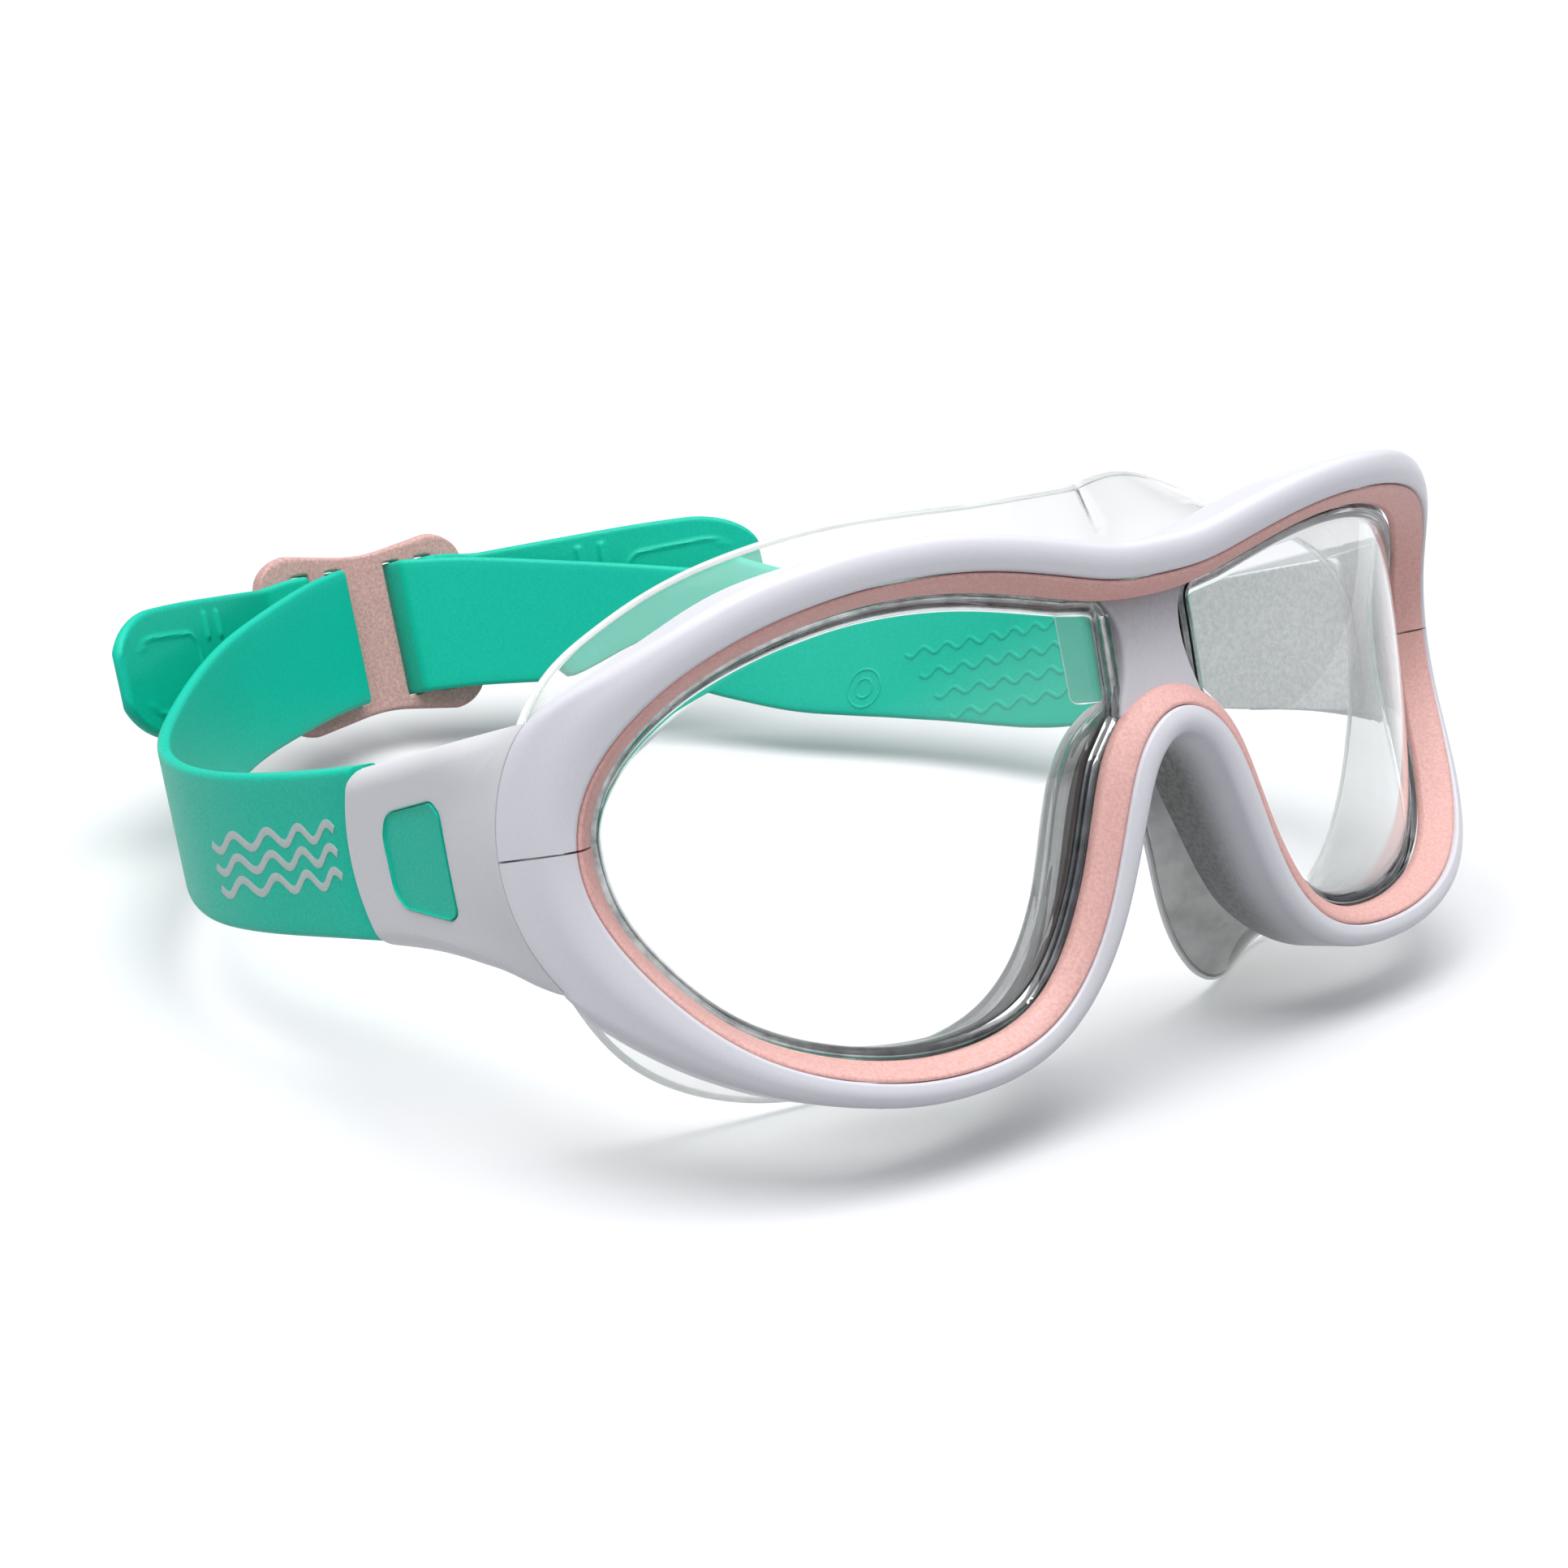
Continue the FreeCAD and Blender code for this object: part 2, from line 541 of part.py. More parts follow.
def strap_side():
    """The strap's side outline as a solid across the whole half."""
    grow = size("strap_gap")
    pivot = Vector(0, size("pivot_depth"), size("pivot_height"))
    top = [Vector(0, y, z) for y, z in STRAP_TOP_EDGE]
    bottom = [Vector(0, y, z) for y, z in STRAP_BOTTOM_EDGE]
    edges = [spline_edge(top).toShape(), Part.LineSegment(top[-1], bottom[-1]).toShape(),
             spline_edge(bottom[::-1]).toShape(), Part.LineSegment(bottom[0], top[0]).toShape()]
    past_the_strap = 100
    solid = Part.Face(Part.Wire(edges)).extrude(X_AXIS * past_the_strap)
    return solid.cut(Part.makeCylinder(size("arm_end_radius") + grow, past_the_strap, pivot, X_AXIS))


def strap_fold():
    """The strap's turn round the buckle's bar: out by the inner slot, back in by the outer one."""
    slack = 0.2
    thick = size("strap_thickness") - slack
    slot_in = (size("inner_slot_start") + size("bar_start")) / 2
    slot_out = (size("outer_slot_start") + size("rim_start")) / 2
    head_side = size("buckle_face") - 1.5
    far_side = size("buckle_face") + size("buckle_thickness") + slack + thick / 2
    run_end = 174.9
    tail_side = size("buckle_half_width") - 0.1 - thick / 2
    low = size("strap_bottom")
    tall = size("strap_top") - low
    legs = [((slot_in, run_end), (slot_in, far_side)), ((slot_in, far_side), (slot_out, far_side)),
            ((slot_out, far_side), (slot_out, head_side)), ((slot_out, head_side), (tail_side, head_side))]
    solid = None
    for (x0, y0), (x1, y1) in legs:
        leg = Part.makeBox(abs(x1 - x0) + thick, abs(y1 - y0) + thick, tall,
                           Vector(min(x0, x1) - thick / 2, min(y0, y1) - thick / 2, low))
        solid = leg if solid is None else solid.fuse(leg)
    return solid


def build_straps():
    reach = 60
    run = strap_band().extrude(Z_AXIS * 2 * reach)
    run.translate(Z_AXIS * -reach)
    run = run.common(strap_side())
    right = run.fuse(strap_fold()).removeSplitter()
    add_feature("strap_right", right)
    add_feature("strap_left", mirrored(right))


def build_tails():
    """Each loose tail: straight from the buckle's rim, with a round-cornered end."""
    thick = size("strap_thickness")
    start = Vector(size("buckle_half_width") + 1.1, size("buckle_face") - 1.5, 0)
    end = Vector(size("tail_end"), size("tail_end_depth"), 0)
    length = (end - start).Length
    along = (end - start).normalize()
    across = Vector(-along.y, along.x, 0)
    low = size("strap_bottom") + 0.3
    high = size("strap_top") - 0.9
    taper = 0.6
    corner = size("tail_corner")
    inset = corner * (1 - math.sqrt(0.5))
    points = [(0, low), (length - corner, low + taper), (length, low + taper + corner),
              (length, high - taper - corner), (length - corner, high - taper), (0, high)]
    lower_bend = (length - inset, low + taper + inset)
    upper_bend = (length - inset, high - taper - inset)

    def place(point):
        return start + along * point[0] - across * thick / 2 + Z_AXIS * point[1]

    edges = [Part.LineSegment(place(points[0]), place(points[1])).toShape(),
             Part.Arc(place(points[1]), place(lower_bend), place(points[2])).toShape(),
             Part.LineSegment(place(points[2]), place(points[3])).toShape(),
             Part.Arc(place(points[3]), place(upper_bend), place(points[4])).toShape(),
             Part.LineSegment(place(points[4]), place(points[5])).toShape(),
             Part.LineSegment(place(points[5]), place(points[0])).toShape()]
    solid = Part.Face(Part.Wire(edges)).extrude(across * thick)
    add_feature("tail_right", solid)
    add_feature("tail_left", mirrored(solid))


# ---------------------------------------------------------------- build, place, check and write
build_frame_and_bezel()
build_bridge_plate()
build_lenses()
build_skirt()
for arm_side, arm_sign in (("right", 1), ("left", -1)):
    build_arm(arm_side, arm_sign)
build_straps()
build_tails()
build_buckle()
doc.recompute()

tilt = Placement(ORIGIN, Rotation(X_AXIS, -size("rest_tilt")))
box = FreeCAD.BoundBox()
for node in nodes:
    shape = node.Shape.copy()
    shape.Placement = tilt.multiply(shape.Placement)
    box.add(shape.optimalBoundingBox(False))
rest = Placement(Vector(-box.Center.x, -box.Center.y, -box.ZMin), tilt.Rotation)
for node in nodes:
    node.Placement = rest
doc.recompute()
print("box", [round(value, 2) for value in (box.XLength, box.YLength, box.ZLength)])
print("origin moved by", [round(value, 3) for value in rest.Base])

for item in doc.Objects:
    if "Invalid" in item.State or "Error" in item.State:
        raise RuntimeError(f"{item.Name} did not build: {item.State}")
os.makedirs("parts", exist_ok=True)
for node in nodes:
    shape = node.Shape
    if shape.isNull() or not shape.isValid():
        raise RuntimeError(f"{node.Label} has no valid shape")
    print(node.Label, "solids", len(shape.Solids), "volume", round(shape.Volume, 1))
    shape.exportStep(f"parts/{node.Label}.step")
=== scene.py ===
"""Swim goggles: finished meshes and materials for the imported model.

Shapes are drawn in the mask's own axes, in millimetres (X across, Y front to back, Z up the brow),
and moved to the resting place by to_rest().  "right" is the side at +X.
"""
import json
import math

import bmesh
import bpy
import numpy as np
from mathutils import Matrix, Vector


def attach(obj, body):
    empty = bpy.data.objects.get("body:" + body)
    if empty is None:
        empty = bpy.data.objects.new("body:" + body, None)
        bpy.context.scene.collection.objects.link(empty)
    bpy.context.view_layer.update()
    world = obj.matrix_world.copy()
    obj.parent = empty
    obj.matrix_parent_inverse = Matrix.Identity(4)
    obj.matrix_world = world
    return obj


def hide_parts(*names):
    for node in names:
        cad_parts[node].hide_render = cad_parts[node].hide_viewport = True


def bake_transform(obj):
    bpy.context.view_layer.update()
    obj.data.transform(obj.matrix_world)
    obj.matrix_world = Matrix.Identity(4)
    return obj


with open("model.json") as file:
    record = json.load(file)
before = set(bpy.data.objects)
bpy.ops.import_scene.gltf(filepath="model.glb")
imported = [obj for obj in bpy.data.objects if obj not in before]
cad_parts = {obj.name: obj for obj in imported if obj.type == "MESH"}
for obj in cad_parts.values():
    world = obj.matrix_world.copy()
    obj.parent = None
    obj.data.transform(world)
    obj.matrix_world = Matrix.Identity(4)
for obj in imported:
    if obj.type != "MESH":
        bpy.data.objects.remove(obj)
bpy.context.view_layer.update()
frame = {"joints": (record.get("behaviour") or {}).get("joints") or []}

# ---- the resting place
REST_TILT = math.radians(17.0)
COS, SIN = math.cos(REST_TILT), math.sin(REST_TILT)
PIVOT_Y, PIVOT_Z = 42.5, -17.5
hinge = next(joint for joint in frame["joints"] if joint["name"] == "strap_lift")
BASE_Y = 1000 * hinge["pos_m"][1] - (PIVOT_Y * COS + PIVOT_Z * SIN)
BASE_Z = 1000 * hinge["pos_m"][2] - (PIVOT_Z * COS - PIVOT_Y * SIN)
X, Y = np.eye(3)[:2]


def to_rest(points):
    """Points of the mask's axes in millimetres, as points of the row frame in metres."""
    x, y, z = np.moveaxis(np.asarray(points, float), -1, 0)
    return np.stack([x, y * COS + z * SIN + BASE_Y, z * COS - y * SIN + BASE_Z], -1) / 1000


# ---- curves
class Spline:
    """A smooth cubic through the values at the knots, closed or with free ends."""

    def __init__(self, knots, values, closed=False):
        self.knots = np.asarray(knots, float)
        self.values = np.asarray(values, float).reshape(len(values), -1)
        if closed:
            self.values = np.vstack([self.values, self.values[:1]])
        self.closed = closed
        count = len(self.values)
        step = np.diff(self.knots)
        slope = np.diff(self.values, axis=0) / step[:, None]
        matrix = np.zeros((count, count))
        right = np.zeros_like(self.values)
        for i in range(1, count - 1):
            matrix[i, i - 1:i + 2] = 1 / step[i - 1], 2 / step[i - 1] + 2 / step[i], 1 / step[i]
            right[i] = 3 * (slope[i - 1] / step[i - 1] + slope[i] / step[i])
        if closed:
            matrix[0, 0], matrix[0, -1] = 1, -1
            matrix[-1, -2], matrix[-1, -1] = 1 / step[-1], 2 / step[-1]
            matrix[-1, 0], matrix[-1, 1] = 2 / step[0], 1 / step[0]
            right[-1] = 3 * (slope[-1] / step[-1] + slope[0] / step[0])
        else:
            matrix[0, :2] = 2, 1
            matrix[-1, -2:] = 1, 2
            right[0], right[-1] = 3 * slope[0], 3 * slope[-1]
        self.slopes = np.linalg.solve(matrix, right)

    def __call__(self, t, order=0):
        t = np.asarray(t, float)
        if self.closed:
            t = (t - self.knots[0]) % (self.knots[-1] - self.knots[0]) + self.knots[0]
        i = np.clip(np.searchsorted(self.knots, t, side="right") - 1, 0, len(self.knots) - 2)
        step = (self.knots[i + 1] - self.knots[i])[..., None]
        s = (t - self.knots[i])[..., None] / step
        a, b = self.values[i], self.values[i + 1]
        m, n = self.slopes[i] * step, self.slopes[i + 1] * step
        if order == 0:
            return ((2 * s ** 3 - 3 * s ** 2 + 1) * a + (s ** 3 - 2 * s ** 2 + s) * m
                    + (3 * s ** 2 - 2 * s ** 3) * b + (s ** 3 - s ** 2) * n)
        return ((6 * s ** 2 - 6 * s) * (a - b) + (3 * s ** 2 - 4 * s + 1) * m
                + (3 * s ** 2 - 2 * s) * n) / step


def chords(points, closed=False):
    """Running chord length along points."""
    points = np.asarray(points, float)
    if closed:
        points = np.vstack([points, points[:1]])
    return np.concatenate([[0], np.cumsum(np.linalg.norm(np.diff(points, axis=0), axis=1))])


def at_lengths(at, length, points):
    """Points at places of the running length, straight between the given ones."""
    return np.stack([np.interp(at, length, column) for column in points.T], -1)


def unit(vectors):
    return vectors / np.maximum(np.linalg.norm(vectors, axis=-1, keepdims=True), 1e-9)


def to_the_right(heading):
    """Plan directions (n, 2) turned a quarter to the right."""
    return np.stack([heading[:, 1], -heading[:, 0]], 1)


def smooth(x):
    x = np.clip(x, 0, 1)
    return x * x * (3 - 2 * x)


def round_corners(corners, radii, steps, closed=True):
    """Sections (n, c, d) with each corner turned by an arc of its radius, as (n, m, d)."""
    corners = np.asarray(corners, float)
    count = corners.shape[1]
    columns = []
    for i in range(count):
        p = corners[:, i]
        if not closed and i in (0, count - 1):
            columns.append(p)
            continue
        a, b = corners[:, i - 1] - p, corners[:, (i + 1) % count] - p
        shortest = np.minimum(np.linalg.norm(a, axis=1), np.linalg.norm(b, axis=1))[:, None]
        a, b = unit(a), unit(b)
        half = 0.5 * np.arccos(np.clip(np.sum(a * b, axis=1), -1, 1))[:, None]
        radius = np.broadcast_to(radii[i], len(p))[:, None]
        reach = np.minimum(radius / np.tan(np.maximum(half, 1e-4)), 0.48 * shortest)
        weight = np.sin(half)
        for s in np.linspace(0, 1, steps[i] + 1):
            w = (1 - s) ** 2, 2 * s * (1 - s) * weight, s ** 2
            columns.append((w[0] * (p + a * reach) + w[1] * p + w[2] * (p + b * reach)) / sum(w))
    return np.stack(columns, 1)


def rounded_outline(corners, radii, spacing):
    """A closed outline (n, 2) through corners with rounded turns, evenly spaced."""
    turned = round_corners(np.asarray(corners, float)[None], radii, [10] * len(corners))[0]
    return respaced(turned, spacing)


def respaced(points, spacing, closed=True):
    length = chords(points, closed)
    source = np.vstack([points, points[:1]]) if closed else points
    count = max(int(round(length[-1] / spacing)), 8)
    at = np.linspace(0, length[-1], count + 1)
    if closed:
        at = at[:-1]
    return at_lengths(at, length, source)


# ---- meshes
SHARP = math.radians(38)
SIDES = (("right", 1), ("left", -1))


def new_object(name, data):
    item = bpy.data.objects.new(name, data)
    bpy.context.scene.collection.objects.link(item)
    return item


def add_piece(name, points, faces, body, material, nodes=(), shade=None):
    """A piece from points in the mask's axes, attached to body; when body is a pair of bodies with its two
    ends, these are not used and the piece is attached to none.
    """
    mesh = bpy.data.meshes.new(name)
    mesh.from_pydata(to_rest(points).tolist(), [], [tuple(int(i) for i in face) for face in faces])
    if shade is not None:
        mask = mesh.attributes.new("shade", "FLOAT", "POINT")
        mask.data.foreach_set("value", np.asarray(shade, np.float32))
    work = bmesh.new()
    work.from_mesh(mesh)
    bmesh.ops.recalc_face_normals(work, faces=work.faces)
    work.to_mesh(mesh)
    work.free()
    mesh.polygons.foreach_set("use_smooth", [True] * len(mesh.polygons))
    mesh.set_sharp_from_angle(angle=SHARP)
    piece = new_object(name, mesh)
    mesh.materials.append(material)
    if isinstance(body, str):
        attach(piece, body)
    else:
        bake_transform(piece)
    if nodes:
        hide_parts(*nodes)
    return piece


def sweep(rows, closed):
    """Points and faces of a tube through rows (n, m, 3) of closed sections, capped unless closed."""
    n, m, _ = rows.shape
    index = np.arange(n * m).reshape(n, m)
    ahead = np.roll(index, -1, 0) if closed else index[1:]
    here = index if closed else index[:-1]
    quads = np.stack([here, np.roll(here, -1, 1), np.roll(ahead, -1, 1), ahead], -1).reshape(-1, 4)
    faces = quads.tolist()
    if not closed:
        faces += [index[0][::-1].tolist(), index[-1].tolist()]
    return rows.reshape(-1, 3), faces


def merged(parts):
    """Several (points, faces) as one."""
    points, faces, start = [], [], 0
    for part_points, part_faces in parts:
        points.append(part_points)
        faces += [[i + start for i in face] for face in part_faces]
        start += len(part_points)
    return np.vstack(points), faces


def outline_normals(outline):
    """Outward normals of a closed outline (n, 2)."""
    tangent = unit(np.roll(outline, -1, 0) - np.roll(outline, 1, 0))
    normal = to_the_right(tangent)
    x, y = outline.T
    area = np.sum(x * np.roll(y, -1) - y * np.roll(x, -1))
    return normal if area > 0 else -normal


def edge_rings(radius, steps=5):
    """(inset, drop) pairs of a rounded edge, from the face to the side wall."""
    angles = np.linspace(0, math.pi / 2, steps + 1)
    return [(radius * (1 - math.sin(a)), radius * (1 - math.cos(a))) for a in angles]


def disc_plate(outline, front, back, edge_front, edge_back, lift, centre=None,
               front_rings=(), shrinks=(0.9, 0.75, 0.55, 0.35, 0.15)):
    """A plate with rounded edges and no hole.

    front and back give depth over (n, 2) plane points; lift makes 3-D points of plane points and
    depth.  front_rings are extra (inset, depth step) rings of the front face.
    """
    normals = outline_normals(outline)
    centre = outline.mean(0) if centre is None else np.asarray(centre, float)
    rows = []

    def ring(inset, depth, drop):
        flat = outline - normals * inset
        rows.append(lift(flat, depth(flat) + drop))

    def inner(base, share, depth, drop):
        flat = centre + (outline - normals * base - centre) * share
        rows.append(lift(flat, depth(flat) + drop))

    deepest_front = max([edge_front] + [inset for inset, step in front_rings])
    last_step = front_rings[-1][1] if front_rings else 0.0
    for share in shrinks[::-1]:
        inner(deepest_front, share, front, last_step)
    for inset, step in front_rings[::-1]:
        ring(inset, front, step)
    for inset, drop in edge_rings(edge_front):
        ring(inset, front, drop)
    for inset, drop in edge_rings(edge_back)[::-1]:
        ring(inset, back, -drop)
    for share in shrinks:
        inner(edge_back, share, back, 0.0)
    points, faces = sweep(np.stack(rows), closed=False)
    last, first = faces.pop(), faces.pop()[::-1]
    middle, top, bottom = centre[None], len(points), len(points) + 1
    points = np.vstack([points, lift(middle, front(middle) + last_step), lift(middle, back(middle))])
    faces += [[b, a, top] for a, b in zip(first, first[1:] + first[:1])]
    faces += [[a, b, bottom] for a, b in zip(last, last[1:] + last[:1])]
    return points, faces


# ---- materials
class Look:
    """A node tree of a material or a world, with short ways to add to it."""

    def __init__(self, data, shader="Principled BSDF", place="Object"):
        self.data = data
        data.use_nodes = True
        self.nodes = data.node_tree.nodes
        self.shader = self.nodes[shader]
        self.place = self.add("TexCoord").outputs[place]

    def plug(self, node, inputs):
        """Fill a node's inputs with plain values, colours or the outputs of other nodes."""
        for key, value in inputs.items():
            socket = node.inputs[key]
            if isinstance(value, bpy.types.NodeSocket):
                self.data.node_tree.links.new(value, socket)
            else:
                socket.default_value = (*value, 1) if socket.type == "RGBA" else value

    def add(self, kind, inputs=None, **settings):
        node = self.nodes.new("ShaderNode" + kind)
        for key, value in settings.items():
            setattr(node, key, value)
        self.plug(node, inputs or {})
        return node

    def noise(self, scale, detail, roughness):
        inputs = {"Vector": self.place, "Scale": scale, "Detail": detail, "Roughness": roughness}
        return self.add("TexNoise", inputs).outputs["Fac"]

    def spread(self, value, low, high, to_low, to_high):
        inputs = {"Value": value, "From Min": low, "From Max": high, "To Min": to_low, "To Max": to_high}
        return self.add("MapRange", inputs).outputs["Result"]

    def mix(self, factor, first, second):
        node = self.add("Mix", {"Factor": factor}, data_type="RGBA")
        colors = [i for i, socket in enumerate(node.inputs) if socket.type == "RGBA"]
        self.plug(node, dict(zip(colors, (first, second))))
        return next(socket for socket in node.outputs if socket.type == "RGBA")

    def painted_shade_share(self):
        """How much painted shade the "shade" attribute lays on a point."""
        return self.add("Attribute", attribute_name="shade").outputs["Fac"]

    def bump(self, height, strength, distance):
        inputs = {"Height": height, "Strength": strength, "Distance": distance}
        return self.add("Bump", inputs).outputs["Normal"]


def moulded(name, color, dark, roughness, grain, bump, speckle=0.5, specular=0.5, coat=0.0, painted_shade=None):
    """Solid moulded material: grain in colour, roughness and surface, with slow tone changes.

    Its last argument is the colour of painted shade, coarsely grained, laid where the "shade" attribute marks
    recesses and inner walls.
    """
    look = Look(bpy.data.materials.new(name))
    fine = look.noise(grain, 4.0, 0.75)
    toned = look.mix(look.spread(fine, 0.35, 0.65, 0.0, speckle), color, dark)
    final = look.mix(look.spread(look.noise(22.0, 2.0, 0.5), 0.35, 0.7, 0.0, 0.16), toned, dark)
    if painted_shade is not None:
        coarse = look.spread(look.noise(1500.0, 2.0, 0.8), 0.42, 0.58, 0.0, 1.0)
        final = look.mix(look.painted_shade_share(), final, look.mix(coarse, painted_shade, tuple(2.4 * c for c in painted_shade)))
    look.plug(look.shader, {
        "Base Color": final,
        "Roughness": look.spread(fine, 0.3, 0.7, roughness - 0.06, roughness + 0.08),
        "Normal": look.bump(fine, bump, 0.0001),
        "Specular IOR Level": specular,
        "Coat Weight": coat})
    return look.data


def clear(name, tint, shade, ior, roughness, haze, streaks, coat=0.0):
    """Clear moulded material that lets lamps through; where the "shade" attribute marks it, its colour turns
    to streaked painted shade.
    """
    look = Look(bpy.data.materials.new(name))
    flow = look.noise(60.0, 2.0, 0.5)
    color = look.mix(look.spread(flow, 0.3, 0.7, 0.0, 1.0), tint, tuple(0.97 * c for c in tint))
    dark = look.mix(look.spread(look.noise(260.0, 3.0, 0.7), 0.3, 0.7, 0.0, streaks), shade, tint)
    look.plug(look.shader, {
        "Base Color": look.mix(look.painted_shade_share(), color, dark),
        "Roughness": look.spread(flow, 0.3, 0.7, roughness * 0.7, roughness * 1.3),
        "Normal": look.bump(flow, 0.08, 0.0002),
        "Transmission Weight": 1.0 - haze,
        "IOR": ior,
        "Coat Weight": coat,
        "Coat Roughness": 0.12})
    shadow = look.add("LightPath").outputs["Is Shadow Ray"]
    through = look.add("BsdfTransparent", {"Color": tuple(0.93 * c for c in tint)}).outputs["BSDF"]
    both = look.add("MixShader", {"Fac": shadow, 1: look.shader.outputs["BSDF"], 2: through})
    look.plug(look.nodes["Material Output"], {"Surface": both.outputs["Shader"]})
    return look.data


# WHITE's near-black colour is painted shade for the frame's inner walls and the top of the bridge panel.
WHITE = moulded("satin_white", (0.84, 0.84, 0.89), (0.75, 0.75, 0.81), 0.34, 2600.0, 0.10, 0.35, coat=0.12,
                painted_shade=(0.065, 0.064, 0.061))
ARM_WHITE = moulded("satin_white_arm", (0.80, 0.80, 0.82), (0.71, 0.71, 0.73), 0.38, 2600.0, 0.10, 0.35)
CORAL = moulded("grained_coral", (1.0, 0.62, 0.565), (0.82, 0.42, 0.38), 0.5, 2400.0, 0.5, 0.9)
GREY = moulded("grained_grey", (0.99, 1.0, 0.99), (0.72, 0.73, 0.73), 0.6, 1500.0, 0.5, 1.0)
TURQUOISE = moulded("turquoise_silicone", (0.002, 0.67, 0.47), (0.001, 0.51, 0.36), 0.46, 2600.0, 0.25,
                    0.7, specular=0.3)
DUSTY = moulded("grained_dusty_pink", (0.86, 0.54, 0.50), (0.54, 0.30, 0.275), 0.55, 2000.0, 0.5, 0.9)
# The lens's and the skirt's second colours are painted shade: a dark rim on the lenses, grey on the skirt's
# sides and nose flank.
LENS = clear("clear_lens", (0.985, 0.995, 0.995), (0.03, 0.032, 0.035), 1.5, 0.015, 0.0, 0.45)
SKIRT = clear("clear_silicone", (0.95, 0.955, 0.95), (0.19, 0.193, 0.19), 1.04, 0.04, 0.06, 0.15, coat=0.25)
SKIRT_EDGE = clear("hazy_silicone", (0.93, 0.94, 0.935), (0.6, 0.6, 0.6), 1.05, 0.08, 0.62, 0.3, coat=0.6)
PRINT = moulded("pale_print", (0.60, 0.70, 0.67), (0.48, 0.57, 0.55), 0.5, 1800.0, 0.2, 0.5)

# ---- the frame's outlines
FRONT_EDGE = [(0, -3), (7, -2.7), (14, -1.4), (26, 1), (41, 2), (53, 0.6), (62.5, -3.2), (68.5, -8.8),
              (71.4, -15), (72, -19), (71.8, -23.5), (68.2, -34), (60.5, -44), (50.5, -49.4),
              (36, -51.8), (24.5, -49.5), (17.3, -43), (13.4, -35.6), (10.6, -28.6), (7.6, -22.8),
              (4, -19.5), (0, -18.4)]
OPENING_EDGE = [(0, -5.2), (7, -4.8), (14, -3.5), (26.3, -0.9), (41, 0.2), (52, -1.4), (60.8, -5.2),
                (66.2, -10.7), (68.4, -15.9), (68.8, -19), (68.5, -23.8), (65.2, -33.5), (58.6, -42.2),
                (49.6, -47.2), (36.3, -49.6), (26, -47.6), (19.9, -42), (15.9, -34.6), (13.2, -27.5),
                (9.8, -20.9), (5.2, -17.1), (0, -15.8)]
SPLIT, LAST = 9, len(FRONT_EDGE) - 1


def front_depth(x, z):
    return -1.68e-3 * x ** 2 + 1.09e-6 * x ** 4 + 2.39e-3 * z ** 2 + 6.4e-6 * x ** 2 * z


def opening_depth(x, z):
    return 2.7 - 0.86e-3 * x ** 2 + 1.067e-6 * x ** 4 + 2.08e-3 * z ** 2 - 3.6e-6 * x ** 2 * z + 0.0124 * z


def whole_loop(half):
    half = np.array(half, float)
    return np.vstack([half, half[-2:0:-1] * (-1, 1)])


KNOTS = chords(whole_loop(FRONT_EDGE), closed=True)
PERIOD = KNOTS[-1]
front_loop = Spline(KNOTS, whole_loop(FRONT_EDGE), closed=True)
opening_loop = Spline(KNOTS, whole_loop(OPENING_EDGE), closed=True)
T_SPLIT, T_NOSE = KNOTS[SPLIT], KNOTS[LAST]
STEP = 0.62
LOOP_SAMPLES = 1024
UPPER_T = np.linspace(0, T_SPLIT, int(T_SPLIT / STEP) + 1)
LOWER_T = np.linspace(T_SPLIT, T_NOSE, int((T_NOSE - T_SPLIT) / STEP) + 1)
OVER_THE_TOP = np.concatenate([-UPPER_T[::-1], UPPER_T[1:]])
ROUND_THE_NOSE = np.concatenate([LOWER_T, PERIOD - LOWER_T[-2::-1]])
ALL_ROUND = np.concatenate([UPPER_T, LOWER_T[1:], PERIOD - LOWER_T[-2::-1], PERIOD - UPPER_T[-2:0:-1]])


def station_of(t):
    t = np.asarray(t) % PERIOD
    return np.interp(np.minimum(t, PERIOD - t), KNOTS[:LAST + 1], range(LAST + 1))


def along_loop(stops, t, softness=2.5):
    """Values at t, straight between the stops {station: value} and softened over some millimetres."""
    even = np.arange(LOOP_SAMPLES) / LOOP_SAMPLES * PERIOD
    raw = np.interp(station_of(even), sorted(stops), [stops[k] for k in sorted(stops)])
    pitch = np.fft.rfftfreq(LOOP_SAMPLES, PERIOD / LOOP_SAMPLES)
    raw = np.fft.irfft(np.fft.rfft(raw) * np.exp(-2 * (math.pi * pitch * softness) ** 2), LOOP_SAMPLES)
    return np.interp(np.asarray(t) % PERIOD, np.append(even, PERIOD), np.append(raw, raw[0]))


class Around:
    """The frame's edges and directions at places t of the loop."""

    def __init__(self, t):
        self.t = np.asarray(t, float)
        edge, inner = front_loop(self.t), opening_loop(self.t)
        tangent = unit(front_loop(self.t, 1))
        out = np.stack([-tangent[:, 1], tangent[:, 0]], 1)
        self.out = np.stack([out[:, 0], 0 * out[:, 0], out[:, 1]], 1)
        self.front = np.stack([edge[:, 0], front_depth(edge[:, 0], edge[:, 1]), edge[:, 1]], 1)
        ahead = edge + out * 0.5
        slope = (front_depth(ahead[:, 0], ahead[:, 1]) - self.front[:, 1]) / 0.5
        self.along = unit(np.stack([out[:, 0], slope, out[:, 1]], 1))
        self.opening = np.stack([inner[:, 0], opening_depth(inner[:, 0], inner[:, 1]), inner[:, 1]], 1)
        self.side = np.sign(np.where(np.abs(edge[:, 0]) < 1e-6, 1, edge[:, 0]))

    def value(self, stops, softness=2.5):
        return along_loop(stops, self.t, softness)

    def at(self, u, w):
        """Points u outward along the front and w back from the front edge."""
        u = np.broadcast_to(u, self.t.shape)[:, None]
        w = np.broadcast_to(w, self.t.shape)[:, None]
        return self.front + self.along * u + Y * w


